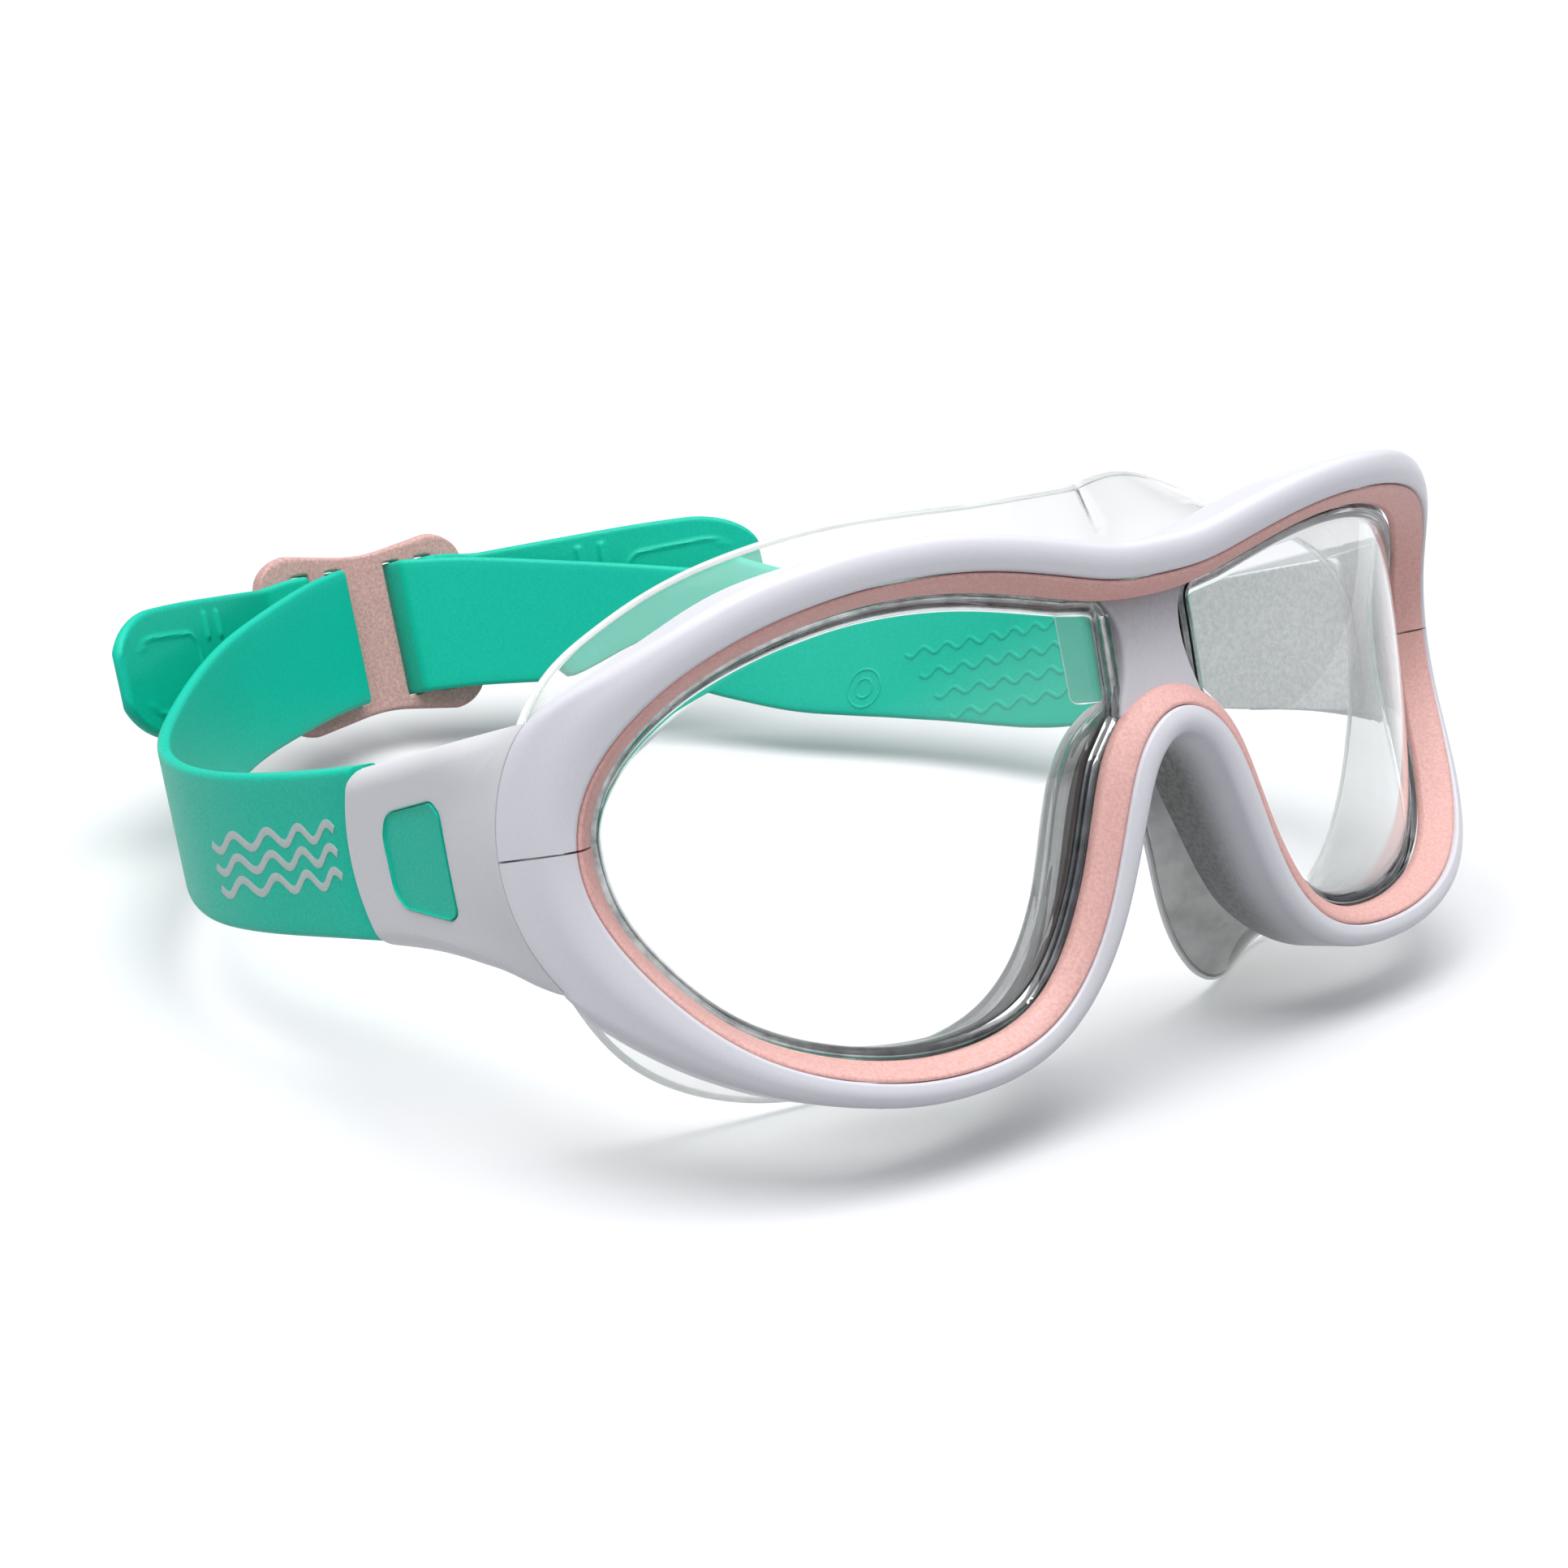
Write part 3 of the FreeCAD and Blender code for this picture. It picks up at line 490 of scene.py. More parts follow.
# ---- the seam between frame and arm
def circle_through(a, b, c):
    """Centre and radius of the circle through three plane points."""
    (ax, ay), (bx, by), (cx, cy) = a, b, c
    d = 2 * (ax * (by - cy) + bx * (cy - ay) + cx * (ay - by))
    sa, sb, sc = ax * ax + ay * ay, bx * bx + by * by, cx * cx + cy * cy
    x = (sa * (by - cy) + sb * (cy - ay) + sc * (ay - by)) / d
    y = (sa * (cx - bx) + sb * (ax - cx) + sc * (bx - ax)) / d
    return x, y, math.hypot(ax - x, ay - y)


SEAM_TOP, SEAM_MIDDLE, SEAM_BOTTOM = (23.7, -4.8), (28.1, -17.5), (24.9, -34.0)
SEAM_Y, SEAM_Z, SEAM_RADIUS = circle_through(SEAM_TOP, SEAM_MIDDLE, SEAM_BOTTOM)


def seam_depth(z):
    return SEAM_Y + np.sqrt(np.maximum(SEAM_RADIUS ** 2 - (z - SEAM_Z) ** 2, 0.01))


# ---- frame shell
FRAME_WIDTH = {0: 4.2, 3: 4.1, 5: 4.4, 5.75: 4.2, 6: 4.6, 6.25: 5.3, 6.5: 6.4, 6.75: 7.8, 7: 9.4, 7.5: 9.8,
               8: 9.7, 10: 9.7, 10.5: 9.4, 11: 8.1, 11.5: 5.8, 12: 4.0, 12.5: 3.2, 13: 2.8, 14: 2.6, 15: 2.8,
               16: 3, 18: 3.2, 21: 3.2}
FRAME_DEPTH = {0: 8, 5: 8, 6: 5, 7: 2.2, 8: 2.2, 10: 2.2, 11: 2.2, 12: 4, 13: 6, 14: 6.5, 15: 8, 16: 11,
               18: 12.5, 21: 13}
ROLL_RADIUS = {0: 3.0, 5: 3.0, 6: 3.4, 7: 4.5, 8: 6.0, 10: 6.0, 11: 5.0, 12: 3.4, 13: 2.8, 18: 2.2, 21: 2.2}
CROWN = {0: 0.85, 6: 0.9, 7: 1.6, 8: 2.3, 10: 2.3, 11: 1.7, 12: 0.9, 14: 0.7, 21: 0.8}
LIP, WALL = 4.2, 2.0
FRONT_POINTS = 44
HEAD_POINTS = 6
SEAM_FADE, BESIDE_X, PAST_SEAM = 9.0, 55, 14.0


def frame_rows(t):
    """Sections of the frame: from its front edge over the face, down the wall and back inside."""
    ring = Around(t)
    width = ring.value(FRAME_WIDTH, 1.6)
    depth = ring.value(FRAME_DEPTH, 1.5)
    roll = ring.value(ROLL_RADIUS)
    crown = ring.value(CROWN)
    outer = ring.at(width, 0)
    beside = np.abs(ring.front[:, 0]) > BESIDE_X
    inside = beside & (outer[:, 2] < SEAM_TOP[1]) & (outer[:, 2] > SEAM_BOTTOM[1])
    run = np.abs(ring.t[:, None] - ring.t[None, inside]).min(1)
    near = np.where(beside, 1 - smooth(run / SEAM_FADE), 0)
    seam_reach = seam_depth(np.clip(outer[:, 2], SEAM_BOTTOM[1], SEAM_TOP[1])) - outer[:, 1]
    seam_reach = np.clip(seam_reach, 0.5, 2.2)
    reach = np.where(inside, PAST_SEAM, depth + (seam_reach - depth) * near)
    corners = np.stack([ring.at(0.06, 1.6), ring.at(0.06, -0.15), ring.at(0.5 * width, -crown),
                        ring.at(width + 0.1, -0.3), ring.at(width - 0.1, reach)], 1)
    path = round_corners(corners, [0, 0.4, 1.6 * width + 2, roll, 0], [0, 5, 10, 18, 0], closed=False)
    head, tail = path[:, :HEAD_POINTS], path[:, HEAD_POINTS:]
    rows = []
    for j in range(len(t)):
        points = tail[j]
        length = chords(points)
        end = length[-1]
        if inside[j]:
            beyond = points[:, 1] - seam_depth(points[:, 2])
            i = np.nonzero((beyond[:-1] < 0) & (beyond[1:] >= 0))[0][0]
            share = beyond[i] / (beyond[i] - beyond[i + 1])
            end = length[i] + share * (length[i + 1] - length[i])
        at = np.linspace(0, end - 0.12, FRONT_POINTS)
        face = at_lengths(at, length, points)
        last = at_lengths(end, length, points)
        inward = unit((1 - near[j]) * -ring.along[j] - near[j] * X * ring.side[j])
        wall = min(WALL, 0.5 * width[j])
        root = ring.at(0.06, LIP)[j]
        inner_edge = last + inward * wall
        plain = ring.at(width - 0.4 - wall, min(LIP, depth[j] - 0.2))[j]
        bend = near[j] * (0.5 * root + 0.5 * inner_edge) + (1 - near[j]) * plain
        rows.append(np.vstack([head[j], face, last + inward * 0.12, inner_edge, bend, root]))
    return np.array(rows), ring


def split_ends(rows, shift):
    """Open a small gap at the two split faces, which lie at the ends of the rows."""
    rows[0, :, 2] += shift
    rows[-1, :, 2] += shift
    return rows


SPLIT_GAP = 0.12
HALVES = (("upper", OVER_THE_TOP, SPLIT_GAP), ("lower", ROUND_THE_NOSE, -SPLIT_GAP))
# Painted shade: the frame's inner wall darkens towards its rear round the nose arch, and all its inside faces
# are a little darkened.
NOSE_SHADE = {0: 0, 14: 0, 15.5: 0.8, 18: 1, 21: 1}
SHADE_START, SHADE_RUN = 1.8, 7.0
INSIDE_SHADE = 0.12
INSIDE = HEAD_POINTS + FRONT_POINTS + 1
for half, t, shift in HALVES:
    rows, ring = frame_rows(t)
    back = smooth((rows[..., 1] - ring.front[:, None, 1] - SHADE_START) / SHADE_RUN)
    shade = back * ring.value(NOSE_SHADE)[:, None]
    shade[:, INSIDE:] = np.maximum(shade[:, INSIDE:], INSIDE_SHADE)
    points, faces = sweep(split_ends(rows, shift), closed=False)
    add_piece(f"{half}_frame_shell", points, faces, "mask", WHITE, [f"frame_{half}"],
              shade.ravel())

# ---- bezel
for half, t, shift in HALVES:
    ring = Around(t)
    front = ring.at(-0.05, 0)
    across = front - ring.opening
    corners = [front + Y * -0.05, ring.opening + across * 0.55 - Y * 0.42, ring.opening - Y * 0.15,
               ring.opening + Y * 1.2, front + Y * 3.1]
    rows = round_corners(np.stack(corners, 1), [0.3, 6.0, 0.6, 0.2, 0.2], [4, 8, 7, 2, 2])
    points, faces = sweep(split_ends(rows, shift), closed=False)
    add_piece(f"{half}_bezel_ring", points, faces, "mask", CORAL, [f"bezel_{half}"])

# ---- bridge plate
BRIDGE_SIDE = [(2.6, -16.5), (5.2, -17.5), (7.4, -19.2), (6.6, -16.6), (5.6, -14), (5.1, -11.6), (5.0, -9.4),
               (5.4, -7.2), (6.4, -5.4), (7.4, -4.6)]
BRIDGE = [(0, -16.2)] + BRIDGE_SIDE + [(-x, z) for x, z in BRIDGE_SIDE[::-1]]


def lift_front(flat, depth):
    return np.stack([flat[:, 0], depth, flat[:, 1]], 1)


def constant(value):
    return lambda flat: np.full(len(flat), float(value))


BRIDGE_ROUNDING = [2, 2, 0.5, 4, 5, 6, 6, 5, 4, 0.4]
bridge_outline = rounded_outline(BRIDGE, [2] + BRIDGE_ROUNDING + BRIDGE_ROUNDING[::-1], 0.35)
points, faces = disc_plate(bridge_outline, lambda p: 3.15 + 0.012 * p[:, 0] ** 2, constant(5.6), 0.5, 0.3,
                           lift_front, centre=(0, -10.4))
# Painted shade: the bridge panel darkens towards its top, under the brow.
add_piece("bridge_panel", points, faces, "mask", WHITE, ["bridge_plate"],
          0.12 + 0.33 * smooth((points[:, 2] + 15) / 10))

# ---- lenses
LENS_SETBACK, LENS_THICKNESS, LENS_OVERLAP = 1.35, 2.0, 0.8
LENS_MIDDLE = (37, -23)
LENS_CORNER = 3.4
lens_t = np.linspace(KNOTS[1], KNOTS[LAST - 1], 420)
lens_ring = Around(lens_t)
rim = (lens_ring.opening + lens_ring.out * LENS_OVERLAP)[:, (0, 2)]
rim = rim[rim[:, 0] > np.where(rim[:, 1] > LENS_MIDDLE[1], 13.2, 9.6)]
lens_corners = np.vstack([[(5.8, -3.9)], rim, [(5.8, -18.3)]])
lens_outline = rounded_outline(lens_corners, [LENS_CORNER] + [0.01] * len(rim) + [LENS_CORNER], 0.6)


def lens_front(flat):
    return opening_depth(flat[:, 0], flat[:, 1]) + LENS_SETBACK


LENS_STEPS = [(1.0, 0.0), (1.15, -0.35), (1.35, -0.45), (1.6, -0.3), (2.0, 0.35), (2.25, 0.6), (2.5, 0.65)]
lens_points, lens_faces = disc_plate(lens_outline, lens_front, lambda flat: lens_front(flat) + LENS_THICKNESS,
                                     0.25, 0.25, lift_front, LENS_MIDDLE, LENS_STEPS,
                                     tuple(np.linspace(0.985, 0.05, 28)))

# Painted shade: 1 along the lens's stepped rim, standing in for the shaded frame inside seen through it,
# falling to 0 towards its clear middle.
to_rim = np.linalg.norm(lens_points[:, None, (0, 2)] - lens_outline[None], axis=2).min(1)
lens_rim_shade = smooth((2.35 - to_rim) / 0.5)
for side, flip in SIDES:
    add_piece(f"{side}_lens_pane", lens_points * (flip, 1, 1), lens_faces, "mask", LENS,
              [f"lens_{side}"], lens_rim_shade)

# ---- skirt
FLANGE_REACH = {0: 11.6, 1: 11.6, 2: 10.6, 3: 8.6, 4: 5, 5: 1.6, 6: 1, 7: 1.4, 8: -0.4, 10: -1.4, 11: -0.4,
                12: 1, 13: 2, 14: 2.8, 15: 7.2, 16: 6.4, 17: 3.6, 18: 2.6, 19: 2, 20: 1.5, 21: 1.5}
FLANGE_DEPTH = {0: 13, 1: 17, 2: 22, 3: 28.5, 4: 35.8, 5: 38.4, 6: 36, 7: 33, 8: 33, 10: 34, 11: 35,
                12: 35.5, 13: 34.5, 14: 32.6, 15: 25.5, 16: 21.5, 17: 20, 19: 18, 21: 17}
SKIRT_START, SKIRT_WALL, TUNNEL_SHARE = 3.7, 1.4, 0.55
BEAD_RADIUS = 0.46
LIGHTER_SIDE = 0.65


def skirt_rows(t):
    """Sections of the skirt, its painted-shade mask (weaker on the left flange) and its edge bead."""
    ring = Around(t)
    start = ring.opening + Y * SKIRT_START + ring.out * 0.1
    edge = ring.front + ring.out * ring.value(FLANGE_REACH, 3.0)[:, None]
    edge[:, 1] = ring.value(FLANGE_DEPTH, 3.5)
    bend = start + ring.out * 0.3
    bend[:, 1] = start[:, 1] + TUNNEL_SHARE * (edge[:, 1] - start[:, 1])
    flare = unit(edge - bend)
    side = ring.out * flare[:, 1:2] - Y * np.sum(flare * ring.out, axis=1, keepdims=True)
    shoulder = start + ring.out * SKIRT_WALL
    shoulder[:, 1] = opening_depth(shoulder[:, 0], shoulder[:, 2]) + SKIRT_START
    tunnel = bend - start
    beads = [(0.16, 0.0), (0.2, -0.25), (0.26, -0.25), (0.3, 0.0), (0.5, 0.0), (0.54, -0.2), (0.6, -0.2),
             (0.64, 0.0)]
    inner = [start + tunnel * share + ring.out * rise for share, rise in beads]
    belly = bend * 0.5 + edge * 0.5 - side * 0.7
    outer_belly = belly + side * SKIRT_WALL * 0.8
    corners = np.stack([start, *inner, bend, belly, edge, edge + side * SKIRT_WALL * 0.6, outer_belly,
                        bend + side * SKIRT_WALL + ring.out * 0.2, shoulder], 1)
    radii = [0.3] + [0.4] * len(beads) + [7.0, 12.0, 0.42, 0.42, 12.0, 7.0, 0.4]
    steps = [3] + [2] * len(beads) + [8, 6, 4, 4, 6, 8, 3]
    rows = round_corners(corners, radii, steps)
    turn = np.linspace(0, 2 * math.pi, 9)[:-1][:, None, None]
    middle = edge + side * SKIRT_WALL * 0.3
    bead = middle + BEAD_RADIUS * (side * np.cos(turn) + flare * np.sin(turn))
    flared = smooth(2 * (rows[..., 1] - bend[:, None, 1]) / (edge - bend)[:, None, 1])
    # The painted shade is weaker on the left flare than on the right, as if that one lay in shadow.
    light_side = smooth(0.5 - rows[..., 0] / 4)
    shade = ring.value(SKIRT_SHADE)[:, None] * (1 - LIGHTER_SIDE * flared * light_side)
    return rows, shade.ravel(), bead.swapaxes(0, 1)


# Painted shade along the loop: grey on the lower sides, deepest round the nose flank.
SKIRT_SHADE = {0: 0, 6: 0.05, 8: 0.25, 12: 0.35, 13: 0.45, 14.2: 0.9, 15: 1, 19: 1, 20: 0.7, 21: 0.5}
rows, shade, bead = skirt_rows(ALL_ROUND)
divider = rounded_outline([(-4.2, -16.6), (4.2, -16.6), (4.2, -4.0), (-4.2, -4.0)], [1.2] * 4, 0.5)
points, faces = merged([sweep(rows, closed=True),
                        disc_plate(divider, constant(6.8), constant(15.8), 0.8, 1.2, lift_front)])
shade = np.append(shade, np.zeros(len(points) - len(shade)))
add_piece("clear_skirt", points, faces, "mask", SKIRT, ["skirt"], shade)

points, faces = sweep(bead, closed=True)
add_piece("skirt_edge_bead", points, faces, "mask", SKIRT_EDGE)

# ---- arms
ARM_FACE, ARM_SHELL, ARM_COVER = 77.0, 3.1, 0.85
END_RADIUS = 18.0
ARM_END_HEIGHTS = (-7.3, -27.6)
LINER_INSET, LINER_GAP = 1.6, 0.04
BOSS_INSET, BOSS_LAP = 0.06, 0.1
FIT_GAP = 0.15
ARM_TOP = Spline([23, 31, 38, 45, 57.5], [-4.75, -5.2, -5.7, -6.2, -7.1])
ARM_BOTTOM = Spline([24.5, 31, 38, 45, 57.5], [-34.1, -32.0, -30.3, -29.0, -27.8])
WINDOW = [(40.3, -11.5), (50.2, -12.3), (51.7, -14.8), (51.6, -21.4), (49.8, -23.2), (40.6, -24.8),
          (39.1, -24.1), (38.9, -13.0)]
ARM_EDGE_RINGS = (0.0, 0.015, 0.06, 0.14, 0.25, 0.4, 0.65, 1.0, 1.4, 1.9, 2.5, 3.2)
WINDOW_ROUNDING = [1.6, 3.0, 3.0, 3.0, 2.6, 1.0, 1.0, 1.6]


def seam_curve():
    """The frame's outer end along the seam on the right side: height, x and slope of x."""
    t = np.linspace(KNOTS[6], KNOTS[12], 260)
    rows, ring = frame_rows(t)
    tip = HEAD_POINTS + FRONT_POINTS - 1
    end, before = rows[:, tip], rows[:, tip - 2]
    slope = (end[:, 0] - before[:, 0]) / np.maximum(end[:, 1] - before[:, 1], 0.05)
    order = np.argsort(end[:, 2])
    inside = (end[order, 2] > SEAM_BOTTOM[1] - 2) & (end[order, 2] < SEAM_TOP[1] + 1.5)
    order = order[inside]
    return end[order, 2], end[order, 0], slope[order]


SEAM_HEIGHTS, SEAM_X, SEAM_SLOPE = seam_curve()
FLOW = 15.0


def arm_face(y, z):
    """x of the arm's outer face: flush with the frame at the seam and flat further back."""
    start_x = np.interp(z, SEAM_HEIGHTS, SEAM_X)
    rise = ARM_FACE - start_x
    slope = np.clip(np.interp(z, SEAM_HEIGHTS, SEAM_SLOPE), 0, np.maximum(2.6 * rise / FLOW, 0.04))
    s = np.clip((y - seam_depth(z)) / FLOW, 0, 1)
    return ((2 * s ** 3 - 3 * s ** 2 + 1) * start_x + (s ** 3 - 2 * s ** 2 + s) * slope * FLOW
            + (3 * s ** 2 - 2 * s ** 3) * ARM_FACE)


def edge_drop(distance, radius):
    d = np.clip(distance, 0, radius)
    return radius - np.sqrt(np.maximum(radius ** 2 - (radius - d) ** 2, 0))


def arm_outer(flat):
    y, z = flat[:, 0], flat[:, 1]
    from_seam = y - seam_depth(z) - FIT_GAP
    from_end = END_RADIUS - np.hypot(y - PIVOT_Y, z - PIVOT_Z)
    from_end = np.where(y > PIVOT_Y, from_end, 99)
    fade = smooth(from_seam / 9)
    top = edge_drop(ARM_TOP(y)[:, 0] - z, 2.5) * fade
    bottom = edge_drop(z - ARM_BOTTOM(y)[:, 0], 2.5) * fade
    ends = np.maximum(edge_drop(from_seam, 0.15), edge_drop(from_end, 0.4))
    return arm_face(y, z) - np.minimum(np.maximum(np.maximum(top, bottom), ends), ARM_SHELL - 0.5)


def arm_outline():
    z_seam = np.linspace(SEAM_BOTTOM[1] + 0.05, SEAM_TOP[1] - 0.1, 70)
    seam = np.stack([seam_depth(z_seam) + FIT_GAP, z_seam], 1)
    y_top = np.linspace(seam[-1, 0] + 0.4, 57.0, 80)
    top = np.stack([y_top, ARM_TOP(y_top)[:, 0]], 1)
    angles = np.linspace(*(math.asin((z - PIVOT_Z) / END_RADIUS) for z in ARM_END_HEIGHTS), 50)
    rear = np.stack([PIVOT_Y + END_RADIUS * np.cos(angles), PIVOT_Z + END_RADIUS * np.sin(angles)], 1)
    y_bottom = np.linspace(57.0, seam[0, 0] + 0.4, 80)
    bottom = np.stack([y_bottom, ARM_BOTTOM(y_bottom)[:, 0]], 1)
    return np.vstack([seam, top, rear, bottom])


def matched_window(outline, shrink=0.0):
    """Window points on the same rays from its middle as the outline's points."""
    window = rounded_outline(WINDOW, WINDOW_ROUNDING, 0.15)
    middle = np.mean(WINDOW, axis=0)
    window = window - outline_normals(window) * shrink
    angle = np.arctan2(*(window - middle).T[::-1])
    order = np.argsort(angle)
    reach = np.linalg.norm(window - middle, axis=1)[order]
    wanted = np.arctan2(*(outline - middle).T[::-1])
    distance = np.interp(wanted, angle[order], reach, period=2 * math.pi)
    return middle + unit(outline - middle) * distance[:, None]


TONGUE = [(33.5, -29.5), (67.5, -26.2), (67.5, -7.6), (33.5, -7.2)]
TONGUE_FACE, TONGUE_BACK = 71.6, 72.3
TONGUE_RINGS = tuple(np.linspace(0.96, 0.04, 24))


def tongue_back(flat):
    """The tongue's outer face, which meets the liner in front of the strap."""
    return TONGUE_BACK + 0.85 * smooth((59.5 - flat[:, 0]) / 1.5)


def build_arm(side, flip):
    outline = arm_outline()
    window = matched_window(outline)
    ray = unit(window - outline)
    span = np.linalg.norm(window - outline, axis=1)[:, None]
    rows = []

    def lift_side(flat, x):
        return np.stack([x * flip, flat[:, 0], flat[:, 1]], 1)

    def ring(flat, x):
        rows.append(lift_side(flat, x))

    def back_x(flat):
        return arm_face(flat[:, 0], flat[:, 1]) - ARM_SHELL

    for inset in ARM_EDGE_RINGS:
        start = outline + ray * np.minimum(inset, 0.45 * span)
        ring(start, arm_outer(start))
    for share in (0.2, 0.4, 0.6, 0.8):
        flat = start + (window - start) * share
        ring(flat, arm_outer(flat))
    for inset, drop in edge_rings(0.3, 4):
        flat = window - ray * inset
        ring(flat, arm_outer(flat) - drop)
    ring(window, back_x(window))
    for share in (0.3, 0.7):
        flat = window + (outline - window) * share
        ring(flat, back_x(flat))
    for inset, drop in edge_rings(0.5, 4):
        flat = outline + ray * inset
        ring(flat, back_x(flat) + drop)
    points, faces = sweep(np.stack(rows, 1), closed=True)
    add_piece(f"{side}_arm_shell", points, faces, "mask", ARM_WHITE, [f"arm_{side}"])

    shrunk = respaced(outline + unit(np.mean(outline, axis=0) - outline) * LINER_INSET, 1.0)
    parts = [disc_plate(shrunk, lambda flat: back_x(flat) - ARM_COVER, lambda flat: back_x(flat) - LINER_GAP,
                        0.3, 0.05, lift_side)]
    tongue = rounded_outline(TONGUE, [1.5, 2.5, 2.5, 1.5], 0.9)
    parts.append(disc_plate(tongue, constant(TONGUE_FACE), tongue_back, 0.3, 0.1, lift_side,
                            shrinks=TONGUE_RINGS))
    points, faces = merged(parts)
    add_piece(f"{side}_arm_liner", points, faces, "mask", GREY, [f"arm_cover_{side}"])

    boss = respaced(matched_window(outline, 0.08), 0.3)
    points, faces = disc_plate(boss, constant(ARM_FACE - BOSS_INSET),
                               constant(ARM_FACE - ARM_SHELL + BOSS_LAP), 0.3, 0.05, lift_side)
    add_piece(f"{side}_strap_boss", points, faces, "mask", TURQUOISE,
              [f"strap_anchor_{side}"])


for side, flip in SIDES:
    build_arm(side, flip)

# ---- strap
STRAP_INNER_FACE = [(72.6, 54.5), (75, 72), (76.8, 84), (76.6, 94.5), (74.4, 104.5), (70, 114.8),
                    (63.6, 125.2), (55.6, 135.8), (46.2, 146.2), (36, 155.3), (25, 162.6), (14, 169),
                    (8.6, 171.8)]
STRAP_TOP_EDGE = [(50, -6.8), (68, -6.4), (86, -5), (102, -2.6), (118, 0.7), (133, 4.8), (147, 9.8),
                  (158, 14.3), (167, 18.4), (172, 20.2), (176, 20.6)]
STRAP_BOTTOM_EDGE = [(50, -27.4), (65, -26.4), (76, -25.7), (86, -24.8), (94, -23.9), (102, -22.5),
                     (110, -20.6), (118, -18.5), (133, -14.2), (147, -9.6), (158, -6), (167, -3.3),
                     (172, -2.1), (176, -1.9)]
THICK, THIN = 3.9, 1.8
THICK_END_Y, THIN_START_Y = 56, 92
BLEND_START, BLEND_END = (0, 56.5, -17.5), (0, 92.0, -17.5)
top_edge, bottom_edge = Spline(*zip(*STRAP_TOP_EDGE)), Spline(*zip(*STRAP_BOTTOM_EDGE))
STRAP_END_Y = 176.0
STRAP_BODIES = ("mask", "harness", BLEND_START, BLEND_END)


def section_shape(long_steps, corner_steps, thick, tall, radius):
    """Rounded rectangle sections (n, m, 2): across the band first, then up it."""
    thick, tall = np.broadcast_arrays(np.asarray(thick, float), np.asarray(tall, float))
    radius = np.minimum(np.minimum(radius, thick / 2 - 0.02), tall / 2 - 0.02)
    columns = []
    for (sx, sz), turn in (((1, -1), -90), ((1, 1), 0), ((-1, 1), 90), ((-1, -1), 180)):
        for a in np.radians(np.linspace(turn, turn + 90, corner_steps + 1)):
            columns.append(np.stack([sx * (thick / 2 - radius) + radius * np.cos(a),
                                     sz * (tall / 2 - radius) + radius * np.sin(a)], -1))
        if sx * sz < 0:
            for share in np.linspace(1, -1, long_steps + 1)[1:-1]:
                columns.append(np.stack([sx * thick / 2, sz * share * (tall / 2 - radius)], -1))
    return np.stack(columns, 1)


def band_rows(centre, normal, thick, low, high, radius=0.8, long_steps=18):
    """Rows of a flat band: centre line and face normal in plan, thickness and edge heights."""
    shape = section_shape(long_steps, 4, thick, high - low, radius)
    plan = centre[:, None] + normal[:, None] * shape[..., :1]
    height = ((low + high) / 2)[:, None] + shape[..., 1]
    return np.concatenate([plan, height[..., None]], 2)


inner_line = Spline(chords(STRAP_INNER_FACE), STRAP_INNER_FACE)
RUN_LENGTH = inner_line.knots[-1]


def strap_course(s):
    """Inner face, outward normal and thickness of the strap at run length s."""
    inner, normal = inner_line(s), to_the_right(unit(inner_line(s, 1)))
    share = smooth((THIN_START_Y - inner[:, 1]) / (THIN_START_Y - THICK_END_Y))
    return inner, normal, THIN + share * (THICK - THIN)


def front_shift(s, z, start_y):
    """How far the strap's front end moves back to lie round the arm's rear end."""
    reach = np.sqrt(np.maximum((END_RADIUS + 0.3) ** 2 - (z - PIVOT_Z) ** 2, 1))
    return (PIVOT_Y + reach - start_y) * np.clip(1 - s / 26, 0, 1) ** 1.6


# How far each strap's lower edge swings in and sags, as shares of its depth below the top edge.
LEAN = {"right": (0.35, 0.16), "left": (0.0, 0.0)}


def leaned(points, side):
    """Strap points as the soft band lies: its lower edge sags and swings in towards the head."""
    swing, sag = LEAN[side]
    points = np.array(points, float)
    y = points[..., 1]
    amount = smooth((y - 58) / 44) * smooth((160 - y) / 30)
    top = top_edge(np.clip(y, 50, STRAP_END_Y).ravel())[:, 0].reshape(y.shape)
    drop = np.maximum(top - points[..., 2], 0)
    points[..., 0] -= swing * amount * drop
    points[..., 2] -= sag * amount * drop
    return points


def strap_rows():
    s = np.linspace(0, RUN_LENGTH, 230)
    inner, normal, thick = strap_course(s)
    centre = inner + normal * thick[:, None] / 2
    turns = np.array([centre[-1], (5.9, 174.3), (5.9, 181.5), (11.9, 181.5), (11.9, 175.9), (13.2, 175.9)])
    fold = round_corners(turns[None], [0, 1.0, 1.35, 1.35, 1.2, 0], [0, 8, 10, 10, 8, 0], closed=False)[0]
    line = np.vstack([centre, fold[1:]])
    fold_normal = to_the_right(unit(np.gradient(line, axis=0)))
    fold_normal[:len(s)] = normal
    beyond = len(line) - len(s)
    thick = np.append(thick, [THIN - 0.1] * beyond)
    y = np.append(np.minimum(inner[:, 1], STRAP_END_Y), [STRAP_END_Y] * beyond)
    rows = band_rows(line, fold_normal, thick, bottom_edge(y)[:, 0], top_edge(y)[:, 0])
    run = np.append(s, [RUN_LENGTH] * beyond)
    rows[..., 1] += front_shift(run[:, None], rows[:1, :, 2], rows[:1, :, 1])
    return rows


def add_on_straps(kind, shape, material):
    """A piece on each strap, leaned as the strap is; the bands take the place of the CAD straps."""
    points, faces = shape
    for side, flip in SIDES:
        add_piece(f"{side}_strap_{kind}", leaned(points, side) * (flip, 1, 1), faces, STRAP_BODIES,
                  material, [f"strap_{side}"] if kind == "band" else [])


add_on_straps("band", sweep(strap_rows(), closed=False), TURQUOISE)

